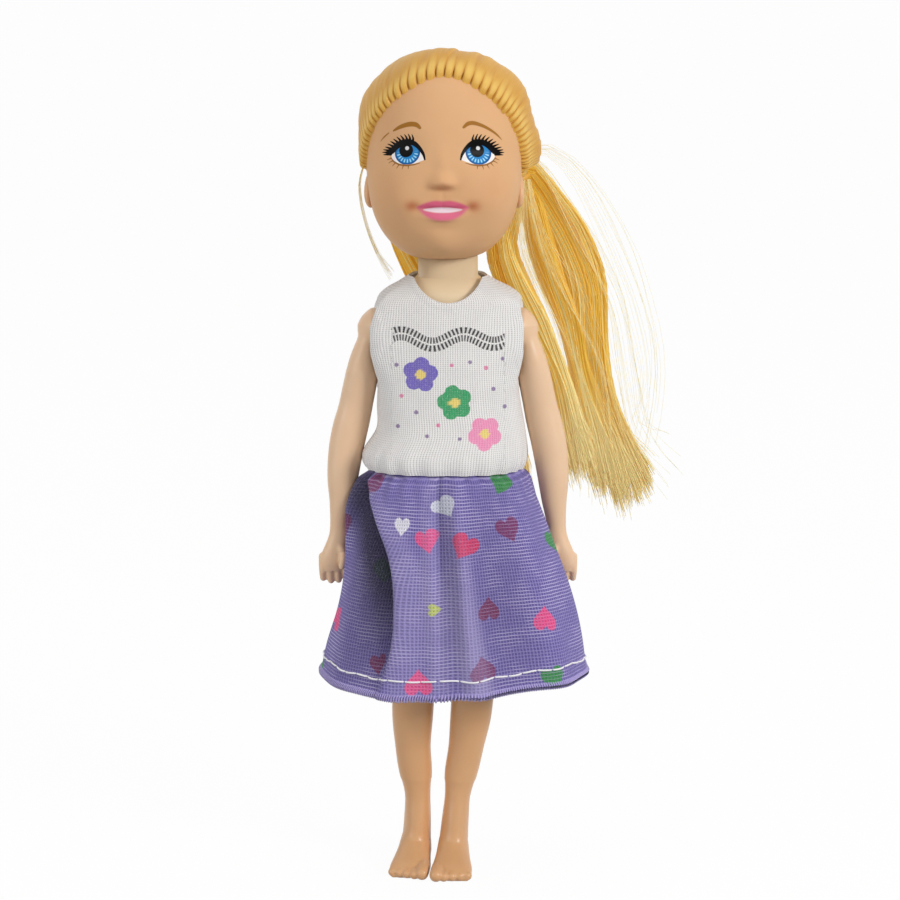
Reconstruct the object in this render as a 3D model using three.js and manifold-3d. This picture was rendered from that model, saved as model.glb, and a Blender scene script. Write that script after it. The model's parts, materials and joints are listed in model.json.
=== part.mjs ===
// A jointed child doll with a rooted side ponytail, standing in a sleeveless dress.
// Millimetres. The doll faces -Y, its left hand is on +X, Z is up and the soles stand on the ground.

import * as THREE from "three";
import { mergeVertices } from "three/addons/utils/BufferGeometryUtils.js";
import Module from "manifold-3d";

const wasm = await Module();
wasm.setup();

const V = (x, y, z) => new THREE.Vector3(x, y, z);
const SIDES = { left: 1, right: -1 };

// Driving dimensions
const clearance = 0.3; // air between neighbouring pieces

const body = {
  hipHeight: 55, // axis of both hips above the ground
  shoulderRise: 37.5, // axis of both shoulders above the hips
  halfWidth: 10.7, // half the chest across
  front: 6.8, // chest in front of the shoulder axis
  back: 6.9, // and behind it
  wall: 1.3, // of the hollow shells
  shoulderSink: 0.4, // depth of the flat seat of each arm in the side of the chest
  crotchHalfWidth: 3.3, // half the web between the legs
};

const peg = { stem: 1.25, hole: 1.5, disc: 2.35, discThick: 1.5 };

const neck = {
  y: 0.6, // axis behind the shoulder axis
  radius: 4.9,
  seat: 50, // top of the post above the hips, where the head sits
  groove: 3.4, // radius of the groove that the rim of the head snaps into
  grooveHeight: 2.4,
  knob: 4.6, // radius of the retaining knob
  knobHeight: 4,
};

const head = {
  halfWidth: 12.8,
  face: 12.9, // from the middle of the head to the face
  nape: 13.1,
  crown: 15.6,
  chin: 17.2,
  fullness: 2.5, // power of the side outline, 2 is an ellipse
  jowl: 0.5, // added to the power of the front outline towards the chin
  beside: -0.6, // middle of the head beside the middle of the neck
  centreY: -0.2,
  centreRise: 16, // of the middle of the head above the neck seat
  wall: 1.6,
  rim: 1.7, // of the vinyl round the neck hole
  tiltBack: 10, // degrees
  turn: -1, // degrees, towards the right hand
};

const hair = {
  depth: 2, // over the scalp
  gatherDepth: 3, // where it bunches at the tie
  edgeDepth: 1.1, // at the hairline
  rootRows: 30, // plugs round the hairline
  plugRelief: 0.4,
  tailRadius: 1.9, // where the elastic holds it
  bandThick: 0.4, // radius of the elastic's section
};

const arm = {
  shoulderRadius: 3.5,
  length: 32.5, // shoulder axis to wrist
  cant: 4, // degrees that the outer end of the shoulder axis leans down
  splay: 7.3, // wrist outside the shoulder, square to that axis
  shoulderWide: 4.9,
  upper: 2.75, // half thickness
  elbow: 2.95,
  wrist: 1.65,
  fingerRadius: 0.66,
  fingerLength: 4.4,
};

const leg = {
  hipRadius: 5.5,
  outerInset: 0.4, // widest point of the hip, inside the side of the chest
  thigh: 4.1, // half thickness
  knee: 3.45,
  calf: 3.3,
  ankle: 2.05,
  ankleHeight: 12,
  ankleSpread: 3.5, // middle of each ankle from the middle of the doll
  footHalfWidth: 3.2,
  footFront: 9.4, // from the ankle to the roots of the toes
  heel: 4.4,
  standLean: -1.8, // both feet stand this far to one side of the hips
  standBack: 1.3, // and this far behind them
  stride: 0.7, // half the step between the feet
  footTurn: { left: 3, right: 9 }, // degrees, of each foot towards the right hand
  swingForward: 90, // degrees
  swingBack: 25,
};

const cloth = {
  knit: 0.45, // thickness
  print: 0.45,
  lapWidth: 5, // overlap of the two back edges
  stripThick: 0.3,
  stripWidth: 3.6,
  hemDrop: 20, // hem below the hips
  waistRise: 14.3, // seam above the hips
  seamSide: 2.7, // top of the skirt outside the chest
  seamFront: 3.4,
  seamBack: 2.9,
  hemSide: 11.6, // and its hem
  hemFront: 11.2,
  hemBack: 8.6,
  hemShift: 1.1, // middle of the hem beside the middle of the doll
  frontDrop: 1.3, // the front of the hem hangs lower
  stitchRise: 3.2, // of the thread above the hem
  thread: 0.22, // radius
};

// Places that several pieces share
const hipZ = body.hipHeight;
const shoulderZ = hipZ + body.shoulderRise;
const neckZ = hipZ + neck.seat;
const shoulderFace = body.halfWidth - body.shoulderSink; // the seat of each arm, from the middle
const innerFace = body.crotchHalfWidth + clearance; // the flat inner side of each hip
const pegSetback = body.wall + clearance; // of each retaining disc behind the outside of the shell
const rad = THREE.MathUtils.degToRad;

// Smooth curve through rows [t, a, b, ...], read at t.
function between(rows, t) {
  const last = rows.length - 1;
  let i = 0;
  while (i < last - 1 && t > rows[i + 1][0]) i++;
  const [p0, p1, p2, p3] = [-1, 0, 1, 2].map((k) => rows[THREE.MathUtils.clamp(i + k, 0, last)]);
  const span = p2[0] - p1[0];
  const s = THREE.MathUtils.clamp((t - p1[0]) / span, 0, 1);
  const slope = (a, b, k) => (b[0] > a[0] ? ((b[k] - a[k]) / (b[0] - a[0])) * span : 0);
  return p1.slice(1).map((_, n) => {
    const k = n + 1;
    const m1 = slope(p0, p2, k);
    const m2 = slope(p1, p3, k);
    const s2 = s * s;
    const s3 = s2 * s;
    return (
      (2 * s3 - 3 * s2 + 1) * p1[k] + (s3 - 2 * s2 + s) * m1 + (3 * s2 - 2 * s3) * p2[k] + (s3 - s2) * m2
    );
  });
}

// A BufferGeometry from points and faces, turned so that its faces point out.
function faceted(points, faces) {
  let volume = 0;
  for (const [a, b, c] of faces) {
    volume += points[a].dot(V().crossVectors(points[b], points[c]));
  }
  const index = volume < 0 ? faces.map(([a, b, c]) => [a, c, b]) : faces;
  return new THREE.BufferGeometry().setFromPoints(points).setIndex(index.flat());
}

// A closed skin over rings that have equal numbers of points, with a fan on each end.
function skin(rings) {
  const n = rings[0].length;
  const points = rings.flat();
  const faces = [];
  for (let r = 0; r + 1 < rings.length; r++) {
    for (let i = 0; i < n; i++) {
      const a = r * n + i;
      const b = r * n + ((i + 1) % n);
      faces.push([a, b, b + n], [a, b + n, a + n]);
    }
  }
  const cap = (start, flip) => {
    const middle = V();
    for (let i = 0; i < n; i++) middle.addScaledVector(points[start + i], 1 / n);
    const m = points.push(middle) - 1;
    for (let i = 0; i < n; i++) {
      const a = start + i;
      const b = start + ((i + 1) % n);
      faces.push(flip ? [m, b, a] : [m, a, b]);
    }
  };
  cap(0, true);
  cap((rings.length - 1) * n, false);
  return faceted(points, faces);
}

// A sheet with a thickness: rows of outer points and their copies further in, joined at the edges.
function thickSheet(rows, thickness) {
  const height = rows.length;
  const width = rows[0].length;
  const within = THREE.MathUtils.clamp;
  const at = (r, c) => rows[within(r, 0, height - 1)][within(c, 0, width - 1)];
  const inner = rows.map((row, r) =>
    row.map((p, c) => {
      const along = V().subVectors(at(r, c + 1), at(r, c - 1));
      const up = V().subVectors(at(r + 1, c), at(r - 1, c));
      return p.clone().addScaledVector(V().crossVectors(along, up).normalize(), -thickness);
    }),
  );
  const points = [...rows.flat(), ...inner.flat()];
  const faces = [];
  const quad = (a, b, c, d) => faces.push([a, b, c], [a, c, d]);
  const o = (r, c) => r * width + c;
  const i = (r, c) => height * width + r * width + c;
  for (let r = 0; r + 1 < height; r++) {
    for (let c = 0; c + 1 < width; c++) {
      quad(o(r, c), o(r, c + 1), o(r + 1, c + 1), o(r + 1, c));
      quad(i(r, c), i(r + 1, c), i(r + 1, c + 1), i(r, c + 1));
    }
    quad(o(r, 0), o(r + 1, 0), i(r + 1, 0), i(r, 0));
    quad(o(r, width - 1), i(r, width - 1), i(r + 1, width - 1), o(r + 1, width - 1));
  }
  for (let c = 0; c + 1 < width; c++) {
    quad(o(0, c), i(0, c), i(0, c + 1), o(0, c + 1));
    quad(o(height - 1, c), o(height - 1, c + 1), i(height - 1, c + 1), i(height - 1, c));
  }
  return faceted(points, faces);
}

// The solid of a closed geometry, for cutting and joining.
function solid(geometry) {
  const bare = geometry.clone();
  bare.deleteAttribute("normal");
  bare.deleteAttribute("uv");
  const merged = mergeVertices(bare, 1e-4);
  const index = merged.index.array;
  const triVerts = [];
  for (let i = 0; i < index.length; i += 3) {
    const [a, b, c] = index.slice(i, i + 3);
    if (a !== b && b !== c && c !== a) triVerts.push(a, b, c);
  }
  return new wasm.Manifold(
    new wasm.Mesh({
      numProp: 3,
      vertProperties: merged.attributes.position.array,
      triVerts: new Uint32Array(triVerts),
    }),
  );
}

const joined = (parts) => parts.reduce((whole, part) => whole.add(part));

function geometryOf(manifold) {
  const { numProp, vertProperties, triVerts } = manifold.getMesh();
  const points = [];
  for (let i = 0; i < vertProperties.length; i += numProp) {
    points.push(V(vertProperties[i], vertProperties[i + 1], vertProperties[i + 2]));
  }
  return new THREE.BufferGeometry().setFromPoints(points).setIndex([...triVerts]);
}

// A round bar along X from one x to the other.
function barX(x0, x1, radius, y = 0, z = 0, sides = 20) {
  const bar = new THREE.CylinderGeometry(radius, radius, Math.abs(x1 - x0), sides);
  return solid(bar.rotateZ(Math.PI / 2).translate((x0 + x1) / 2, y, z));
}

function block(x0, x1, y0, y1, z0, z1) {
  const box = new THREE.BoxGeometry(x1 - x0, y1 - y0, z1 - z0);
  return solid(box.translate((x0 + x1) / 2, (y0 + y1) / 2, (z0 + z1) / 2));
}

// A body turned about Z from a profile of [radius, z] points.
function turned(profile, y = 0, sides = 28) {
  const lathe = new THREE.LatheGeometry(
    profile.map(([r, z]) => new THREE.Vector2(r, z)),
    sides,
  );
  return solid(lathe.rotateX(Math.PI / 2).translate(0, y, 0));
}

// A body turned about X from a profile of [radius, x] points.
function turnedX(profile, sides = 24) {
  const lathe = new THREE.LatheGeometry(
    profile.map(([r, x]) => new THREE.Vector2(r, x)),
    sides,
  );
  return solid(lathe.rotateZ(-Math.PI / 2));
}

// A horizontal oval ring, with its own depth in front and behind.
function oval(cx, cy, z, rx, front, back, n, power = 2) {
  return Array.from({ length: n }, (_, i) => {
    const a = (i / n) * 2 * Math.PI;
    const bulge = (v) => Math.sign(v) * Math.abs(v) ** (2 / power);
    const y = bulge(Math.sin(a));
    return V(cx + rx * bulge(Math.cos(a)), cy + (y < 0 ? front : back) * y, z);
  });
}

// A tube with round ends through points, its half thickness given at each end.
function digit(points, r0, r1, sides = 6) {
  const path = new THREE.CatmullRomCurve3(points);
  const steps = 4;
  const up = V(0, 0, 1);
  const rings = [];
  for (let k = 0; k <= steps; k++) {
    const t = k / steps;
    const p = path.getPointAt(t);
    const dir = path.getTangentAt(t);
    const side = V().crossVectors(dir, Math.abs(dir.z) > 0.9 ? V(0, 1, 0) : up).normalize();
    const over = V().crossVectors(side, dir);
    const round = k === steps ? 0.62 : 1;
    const r = THREE.MathUtils.lerp(r0, r1, t) * round;
    rings.push(
      Array.from({ length: sides }, (_, i) => {
        const a = (i / sides) * 2 * Math.PI;
        return p.clone().addScaledVector(side, r * Math.cos(a)).addScaledVector(over, r * Math.sin(a));
      }),
    );
  }
  const tip = rings.at(-1).map((p) => p.clone());
  const end = path.getPointAt(1).addScaledVector(path.getTangentAt(1), r1 * 0.7);
  rings.push(tip.map((p) => p.lerp(end, 0.55).addScaledVector(path.getTangentAt(1), r1 * 0.1)));
  return solid(skin(rings));
}

// Torso: two welded half shells with the neck post, round a hollow that holds the pegs.

// [share of the shoulder rise, half width, front, back], as shares of the chest
const torsoRows = [
  [-0.13, 0.29, 0.5, 0.55],
  [-0.05, 0.78, 0.86, 0.95],
  [0.06, 0.99, 1.0, 1.1],
  [0.19, 1.0, 1.05, 1.08],
  [0.35, 0.96, 1.07, 0.95],
  [0.51, 0.94, 1.05, 0.91],
  [0.67, 0.95, 1.01, 0.9],
  [0.83, 0.98, 0.97, 0.91],
  [1.0, 1.0, 0.92, 0.91],
  [1.09, 0.98, 0.84, 0.86],
  [1.145, 0.85, 0.75, 0.8],
  [1.19, 0.66, 0.69, 0.77],
  [1.23, 0.49, 0.65, 0.77],
];

function torsoLoft(inset, from, to, levels, n) {
  const rings = [];
  for (let k = 0; k <= levels; k++) {
    const t = THREE.MathUtils.lerp(from, to, k / levels);
    const [w, f, b] = between(torsoRows, t);
    rings.push(
      oval(
        0,
        0,
        body.shoulderRise * t,
        w * body.halfWidth - inset,
        f * body.front - inset,
        b * body.back - inset,
        n,
        2.5,
      ),
    );
  }
  return solid(skin(rings));
}

// Everything that a leg sweeps through between its two limits, on one side, with air round it.
function legSweep(side) {
  const w = leg.hipRadius + 2 * clearance;
  const far = 3 * w;
  const back = rad(leg.swingBack);
  const forward = rad(leg.swingForward);
  const outline = new THREE.Shape();
  // the outline is drawn in the plane of Y and Z, and starts on the upper edge of the raised leg
  const edge = [-w * Math.cos(forward), w * Math.sin(forward)];
  outline.moveTo(edge[0] - far * Math.sin(forward), edge[1] - far * Math.cos(forward));
  outline.lineTo(...edge);
  outline.absarc(0, 0, w, Math.PI - forward, back, true);
  outline.lineTo(w * Math.cos(back) + far * Math.sin(back), w * Math.sin(back) - far * Math.cos(back));
  outline.lineTo(-far, -far);
  const long = 2 * body.halfWidth;
  const cut = new THREE.ExtrudeGeometry(outline, { depth: long, bevelEnabled: false, curveSegments: 10 });
  cut.rotateX(Math.PI / 2).rotateZ(Math.PI / 2);
  return solid(cut.translate(side > 0 ? body.crotchHalfWidth : -body.crotchHalfWidth - long, 0, 0));
}

function neckPost() {
  const top = neck.seat + neck.grooveHeight;
  return turned(
    [
      [0, neck.seat - 8],
      [neck.radius + 0.5, neck.seat - 8],
      [neck.radius + 0.1, neck.seat - 5],
      [neck.radius, neck.seat],
      [neck.groove, neck.seat],
      [neck.groove, top],
      [neck.knob, top + 0.3],
      [neck.knob, top + neck.knobHeight * 0.4],
      [neck.knob * 0.75, top + neck.knobHeight * 0.85],
      [0, top + neck.knobHeight],
    ],
    neck.y,
  );
}

const weldPins = [
  [0, 0.6],
  [-0.45, 0.3],
  [0.45, 0.3],
]; // [share of the half width, share of the shoulder rise]
const pin = { radius: 0.8, boss: 1.9, reach: 2.2 };

function torsoShells() {
  const wall = body.wall;
  const hollowFloor = (leg.hipRadius + 2 * clearance + wall) / body.shoulderRise;
  let outer = torsoLoft(0, -0.13, 1.23, 13, 24).add(neckPost());
  const web = leg.hipRadius - 0.3;
  outer = outer.add(barX(-body.crotchHalfWidth, body.crotchHalfWidth, web, 0, 0, 28));
  const onShoulder = (bar, side) =>
    bar.rotate([0, side * arm.cant, 0]).translate([side * shoulderFace, 0, body.shoulderRise]);
  for (const side of Object.values(SIDES)) {
    outer = outer.subtract(legSweep(side));
    outer = outer.subtract(onShoulder(barX(0, side * 2 * wall, arm.shoulderRadius + 2 * clearance), side));
  }
  const webHollow = body.crotchHalfWidth - wall;
  const bore = neck.groove - wall;
  const hollow = joined([
    torsoLoft(wall, hollowFloor, 1.15, 7, 16),
    ...Object.values(SIDES).flatMap((side) => [
      onShoulder(barX(-side * body.halfWidth, -side * wall, peg.disc + clearance), side),
      onShoulder(barX(-side * body.halfWidth, side * wall, peg.hole), side),
    ]),
    barX(-webHollow, webHollow, web - wall, 0, 0),
    block(-webHollow, webHollow, -web + wall, web - wall, 0, body.shoulderRise * 0.4),
    barX(-body.crotchHalfWidth - wall, body.crotchHalfWidth + wall, peg.hole),
    turned(
      [
        [0, body.shoulderRise],
        [bore, body.shoulderRise],
        [bore, neck.seat + neck.grooveHeight],
        [0, neck.seat + neck.grooveHeight + bore],
      ],
      neck.y,
      16,
    ),
  ]);
  const whole = outer.subtract(hollow);
  const big = body.shoulderRise * 2;
  let front = whole.intersect(block(-big, big, -big, 0, -big, big));
  let back = whole.intersect(block(-big, big, 0, big, -big, big));
  // a pin stands on the front shell behind the parting line, in a bored boss on the back shell
  for (const [x, z] of weldPins) {
    const at = [x * body.halfWidth, z * body.shoulderRise];
    const along = (y0, y1, radius, sides) => {
      const bar = new THREE.CylinderGeometry(radius, radius, y1 - y0, sides);
      return solid(bar.translate(at[0], (y0 + y1) / 2, at[1]));
    };
    front = front.add(along(-body.front + wall / 2, 0, pin.boss, 14));
    front = front.add(along(-wall, pin.reach, pin.radius, 10));
    back = back.add(along(0, body.back * 0.93 - wall / 2, pin.boss, 14));
    back = back.subtract(along(-wall, pin.reach + clearance, pin.radius + clearance, 10));
  }
  return { front, back };
}

// Head: a radial surface about its middle, with the relief of the face on it.

// Soft rises and dips of a face that is reliefFace deep: their place, spread and height.
const reliefFace = 12.9;
const faceRelief = [
  { x: 0, z: -5.6, across: 1.6, up: 1.3, rise: 1.6 }, // nose tip
  { x: 0, z: -2.9, across: 1.3, up: 2.4, rise: 0.6 }, // bridge
  { x: 5.9, z: -0.8, across: 2.6, up: 2.0, rise: -0.45 }, // eye sockets
  { x: 6.8, z: -8.2, across: 3.2, up: 2.8, rise: 0.55 }, // cheeks
  { x: 0, z: -9.2, across: 2.6, up: 0.6, rise: 0.4 }, // upper lip
  { x: 0, z: -11.2, across: 2.2, up: 0.7, rise: 0.65 }, // lower lip
  { x: 0, z: -15, across: 2.8, up: 2.2, rise: 1.0 }, // chin
];

function headRadius(d) {
  const sideOutline =
    Math.abs(d.y / (d.y < 0 ? head.face : head.nape)) ** head.fullness +
    Math.abs(d.z / (d.z > 0 ? head.crown : head.chin)) ** head.fullness;
  const power = 2 + head.jowl * THREE.MathUtils.smoothstep(-d.z, 0, 0.7);
  const side = sideOutline ** (power / head.fullness);
  const r = 1 / (Math.abs(d.x / head.halfWidth) ** power + side) ** (1 / power);
  if (d.y > 0) return r;
  const front = THREE.MathUtils.smoothstep(-d.y, 0.1, 0.5);
  const scale = head.face / reliefFace;
  let rise = 0;
  for (const f of faceRelief) {
    const dx = (Math.abs(d.x * r) / scale - f.x) / f.across;
    const dz = ((d.z * r) / scale - f.z) / f.up;
    rise += f.rise * Math.exp(-dx * dx - dz * dz);
  }
  return r + front * rise * scale;
}

// Carries the face frame, whose origin is the middle of the head, into the frame of the neck seat.
const headPlace = new THREE.Matrix4()
  .makeTranslation(head.beside, head.centreY - neck.y, head.centreRise)
  .multiply(new THREE.Matrix4().makeRotationZ(rad(head.turn)))
  .multiply(new THREE.Matrix4().makeRotationX(-rad(head.tiltBack)));

const onHead = (d, lift = 0) => d.clone().multiplyScalar(headRadius(d) + lift).applyMatrix4(headPlace);

const headFacets = { around: 32, levels: 20 }; // of the skin, and of the hair's underside

function headSkin(inset, around, levels) {
  const rings = [];
  for (let k = 1; k < levels; k++) {
    const lat = -Math.PI / 2 + (Math.PI * k) / levels;
    const level = Math.cos(lat);
    rings.push(
      Array.from({ length: around }, (_, i) => {
        const u = i / around;
        // more of the points are spent on the face, which looks along -Y
        const lon = 2 * Math.PI * u - 0.5 * Math.sin(2 * Math.PI * u) + 1.5 * Math.PI;
        return onHead(V(level * Math.cos(lon), level * Math.sin(lon), Math.sin(lat)), -inset);
      }),
    );
  }
  return solid(skin(rings));
}

const ear = { sink: 0.6, y: 1.2, z: -5.4, thick: 1.1, deep: 1.9, tall: 3.2 };

function headShell() {
  let outer = headSkin(0, headFacets.around, headFacets.levels);
  const earX = head.halfWidth - ear.sink;
  for (const side of Object.values(SIDES)) {
    const lobe = new THREE.SphereGeometry(1, 12, 8);
    lobe.scale(ear.thick, ear.deep, ear.tall).rotateX(rad(-12)).rotateZ(rad(side * 20));
    lobe.translate(side * earX, ear.y, ear.z).applyMatrix4(headPlace);
    const bowl = new THREE.SphereGeometry(1, 10, 6);
    bowl.scale(ear.thick * 0.6, ear.deep * 0.6, ear.tall * 0.62).rotateX(rad(-12));
    bowl.translate(side * (earX + ear.thick), ear.y - 0.5, ear.z + 0.3);
    outer = outer.add(solid(lobe)).subtract(solid(bowl.applyMatrix4(headPlace)));
  }
  const rimTop = clearance + head.rim;
  const wide = 2 * head.halfWidth;
  const aboveRim = block(-wide, wide, -wide, wide, rimTop, 3 * head.crown);
  const hollow = headSkin(head.wall, 16, 11).intersect(aboveRim);
  const socket = turned([
    [0, -head.chin],
    [neck.radius + clearance, -head.chin],
    [neck.radius + clearance, clearance],
    [neck.groove + clearance, clearance],
    [neck.groove + clearance, rimTop + 1],
    [0, rimTop + 1],
  ]);
  return outer.subtract(hollow).subtract(socket);
}

// Hair: combed from the plugs round the hairline over the head to the tie behind the left ear.

const unit = (x, y, z) => V(x, y, z).normalize();
const tieWay = unit(0.6, 0.79, -0.06);
const crownWay = unit(0.1, 0.62, 0.78);
const hairline = new THREE.CatmullRomCurve3(
  [
    [0, -10.0, 10.4],
    [7.2, -9.1, 7.6],
    [11, -6.5, 3.8],
    [12.7, -3.8, -0.3],
    [12.9, -1.6, -2.6],
    [12.5, 2.8, -2.0],
    [10.8, 7, -6.2],
    [6.5, 10, -9],
    [0, 11, -10],
    [-6.5, 10, -9],
    [-10.8, 7, -6.2],
    [-12.5, 2.8, -2.0],
    [-12.9, -1.6, -2.6],
    [-12.7, -3.8, -0.3],
    [-11, -6.5, 3.8],
    [-7.2, -9.1, 7.6],
  ].map(([x, y, z]) => V(x, y, z)),
  true,
);

function slerp(a, b, t) {
  const angle = a.angleTo(b);
  if (angle < 1e-6) return a.clone();
  const from = a.clone().multiplyScalar(Math.sin((1 - t) * angle) / Math.sin(angle));
  return from.addScaledVector(b, Math.sin(t * angle) / Math.sin(angle)).normalize();
}

// Direction of the hair at t along the lock that starts at s of the hairline.
function combed(s, t) {
  const root = hairline.getPoint(s).normalize();
  const away = root.angleTo(tieWay) / Math.PI;
  const middle = root.clone().add(tieWay).multiplyScalar((1 - away) ** 2);
  const over = middle.addScaledVector(crownWay, away * 1.3).normalize();
  return slerp(slerp(root, over, t), slerp(over, tieWay, t), t);
}

// The tie lies outside the gathered hair, and the tail falls from it.
const bandOuter = hair.tailRadius + clearance + 2 * hair.bandThick;
const tie = onHead(tieWay, hair.gatherDepth + bandOuter);
const tailWay = unit(0.42, 0.05, -0.9);

function hairCap() {
  const around = hair.rootRows * 2;
  const row = (t, lift, relief) =>
    Array.from({ length: around }, (_, i) => {
      return onHead(combed(i / around, t), lift + (i % 2 ? -relief : relief));
    });
  const rings = [row(0, -hair.depth, 0), row(0, hair.edgeDepth / 2, 0)];
  for (const t of [0.05, 0.2, 0.42, 0.66, 0.88]) {
    const rise = THREE.MathUtils.smoothstep(t, 0, 0.25);
    const gather = THREE.MathUtils.smoothstep(t, 0.5, 1);
    const full = hair.depth - hair.edgeDepth;
    const lift = hair.edgeDepth + rise * full + gather * (hair.gatherDepth - hair.depth);
    rings.push(row(t, lift, hair.plugRelief * (1 - t)));
  }
  // the gathered hair arches out of the head into the tie
  const arch = [onHead(tieWay, 0), onHead(tieWay, hair.gatherDepth).add(V(0, 0, hair.tailRadius)), tie];
  const narrowing = [2, 1.4, 1].map((share) => share * hair.tailRadius);
  const stump = lock(arch, narrowing, hair.tailRadius, 5);
  const room = new THREE.CylinderGeometry(bandOuter + clearance, bandOuter + clearance, 6, 16);
  room.applyQuaternion(new THREE.Quaternion().setFromUnitVectors(V(0, 1, 0), tailWay));
  room.translate(...tie.clone().addScaledVector(tailWay, 3 - clearance));
  // the hair lies on the head, a clearance off it all over
  const skull = headSkin(-clearance, headFacets.around, headFacets.levels);
  return solid(skin(rings)).add(stump).subtract(solid(room)).subtract(skull);
}

// Each lock: points from the tie in the doll's axes, and its half widths along it.
const tailLocks = [
  {
    across: [1.7, 2.5, 2.3, 1.1],
    points: [
      [4, -1.4, -7.5],
      [8.6, -1.8, -14],
      [12, -1.8, -22],
      [13, -1.8, -31],
      [15, -2, -42],
      [20, -2.4, -56],
    ],
  },
  {
    across: [1.6, 2.2, 2.3, 1.1],
    points: [
      [2.8, -1, -8],
      [6.2, -1.2, -16],
      [9, -1.4, -26],
      [10.8, -1.8, -38],
      [15.4, -2.4, -52],
    ],
  },
  {
    across: [1.5, 2.4, 2.4, 1.1],
    points: [
      [-1, 0.2, -8],
      [-1.6, -1.4, -16],
      [1.2, -3, -26],
      [4.2, -3.4, -37],
      [8.4, -3.8, -49],
    ],
  },
];
const tailThick = 1.25;

// The loose lock behind the neck: points from the neck seat, in the doll's axes.
const napeLock = {
  across: [1.3, 2.3, 2.6, 1],
  points: [
    [-9.5, 9.4, 5.1],
    [-8, 11, 0.5],
    [-4, 11.9, -7],
    [1.6, 12.1, -15],
    [6.6, 11.7, -24],
    [10.4, 10.9, -33],
    [13, 10, -40.5],
  ],
};

// A flat lock of hair along points, grooved between its strands.
function lock(points, across, through, steps) {
  const path = new THREE.CatmullRomCurve3(points);
  const sides = 10;
  const rings = [];
  for (let k = 0; k <= steps; k++) {
    const t = k / steps;
    const p = path.getPointAt(t);
    const dir = path.getTangentAt(t);
    const over = V(0, 1, 0).addScaledVector(dir, -dir.y).normalize();
    const side = V().crossVectors(over, dir);
    const [w] = between(
      across.map((a, i) => [i / (across.length - 1), a]),
      t,
    );
    const d = through * (1 - 0.45 * t * t);
    rings.push(
      Array.from({ length: sides }, (_, i) => {
        const a = (i / sides) * 2 * Math.PI;
        const groove = i % 2 ? 0.86 : 1;
        return p
          .clone()
          .addScaledVector(side, w * Math.cos(a) * groove)
          .addScaledVector(over, d * Math.sin(a) * groove);
      }),
    );
  }
  return solid(skin(rings));
}

function ponytail() {
  const root = tie.clone().addScaledVector(tailWay, 5);
  const stub = lock([tie.clone(), root], [hair.tailRadius, hair.tailRadius], hair.tailRadius, 2);
  const start = root.clone().addScaledVector(tailWay, -1.2);
  const locks = tailLocks.map(({ points, across }) => {
    return lock([start, ...points.map((p) => V(...p).add(tie))], across, tailThick, 10);
  });
  return joined([stub, ...locks]);
}

function hairElastic() {
  const ring = new THREE.TorusGeometry(bandOuter - hair.bandThick, hair.bandThick, 7, 20);
  const turn = new THREE.Quaternion().setFromUnitVectors(V(0, 0, 1), tailWay);
  return ring.applyQuaternion(turn).translate(...tie.clone().addScaledVector(tailWay, 1.6));
}

// A peg along X: its disc holds behind a wall whose outside is at wallFace, its stem runs out to the limb.
function limbPeg(wallFace, limbFace) {
  const discFace = wallFace - pegSetback;
  const stem = barX(discFace - peg.discThick / 2, limbFace + 1, peg.stem, 0, 0, 14);
  return stem.add(barX(discFace - peg.discThick, discFace, peg.disc, 0, 0, 18));
}

// Arms: a shoulder turned about its own axis, so that it swings freely, a lofted arm and a hand.

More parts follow.
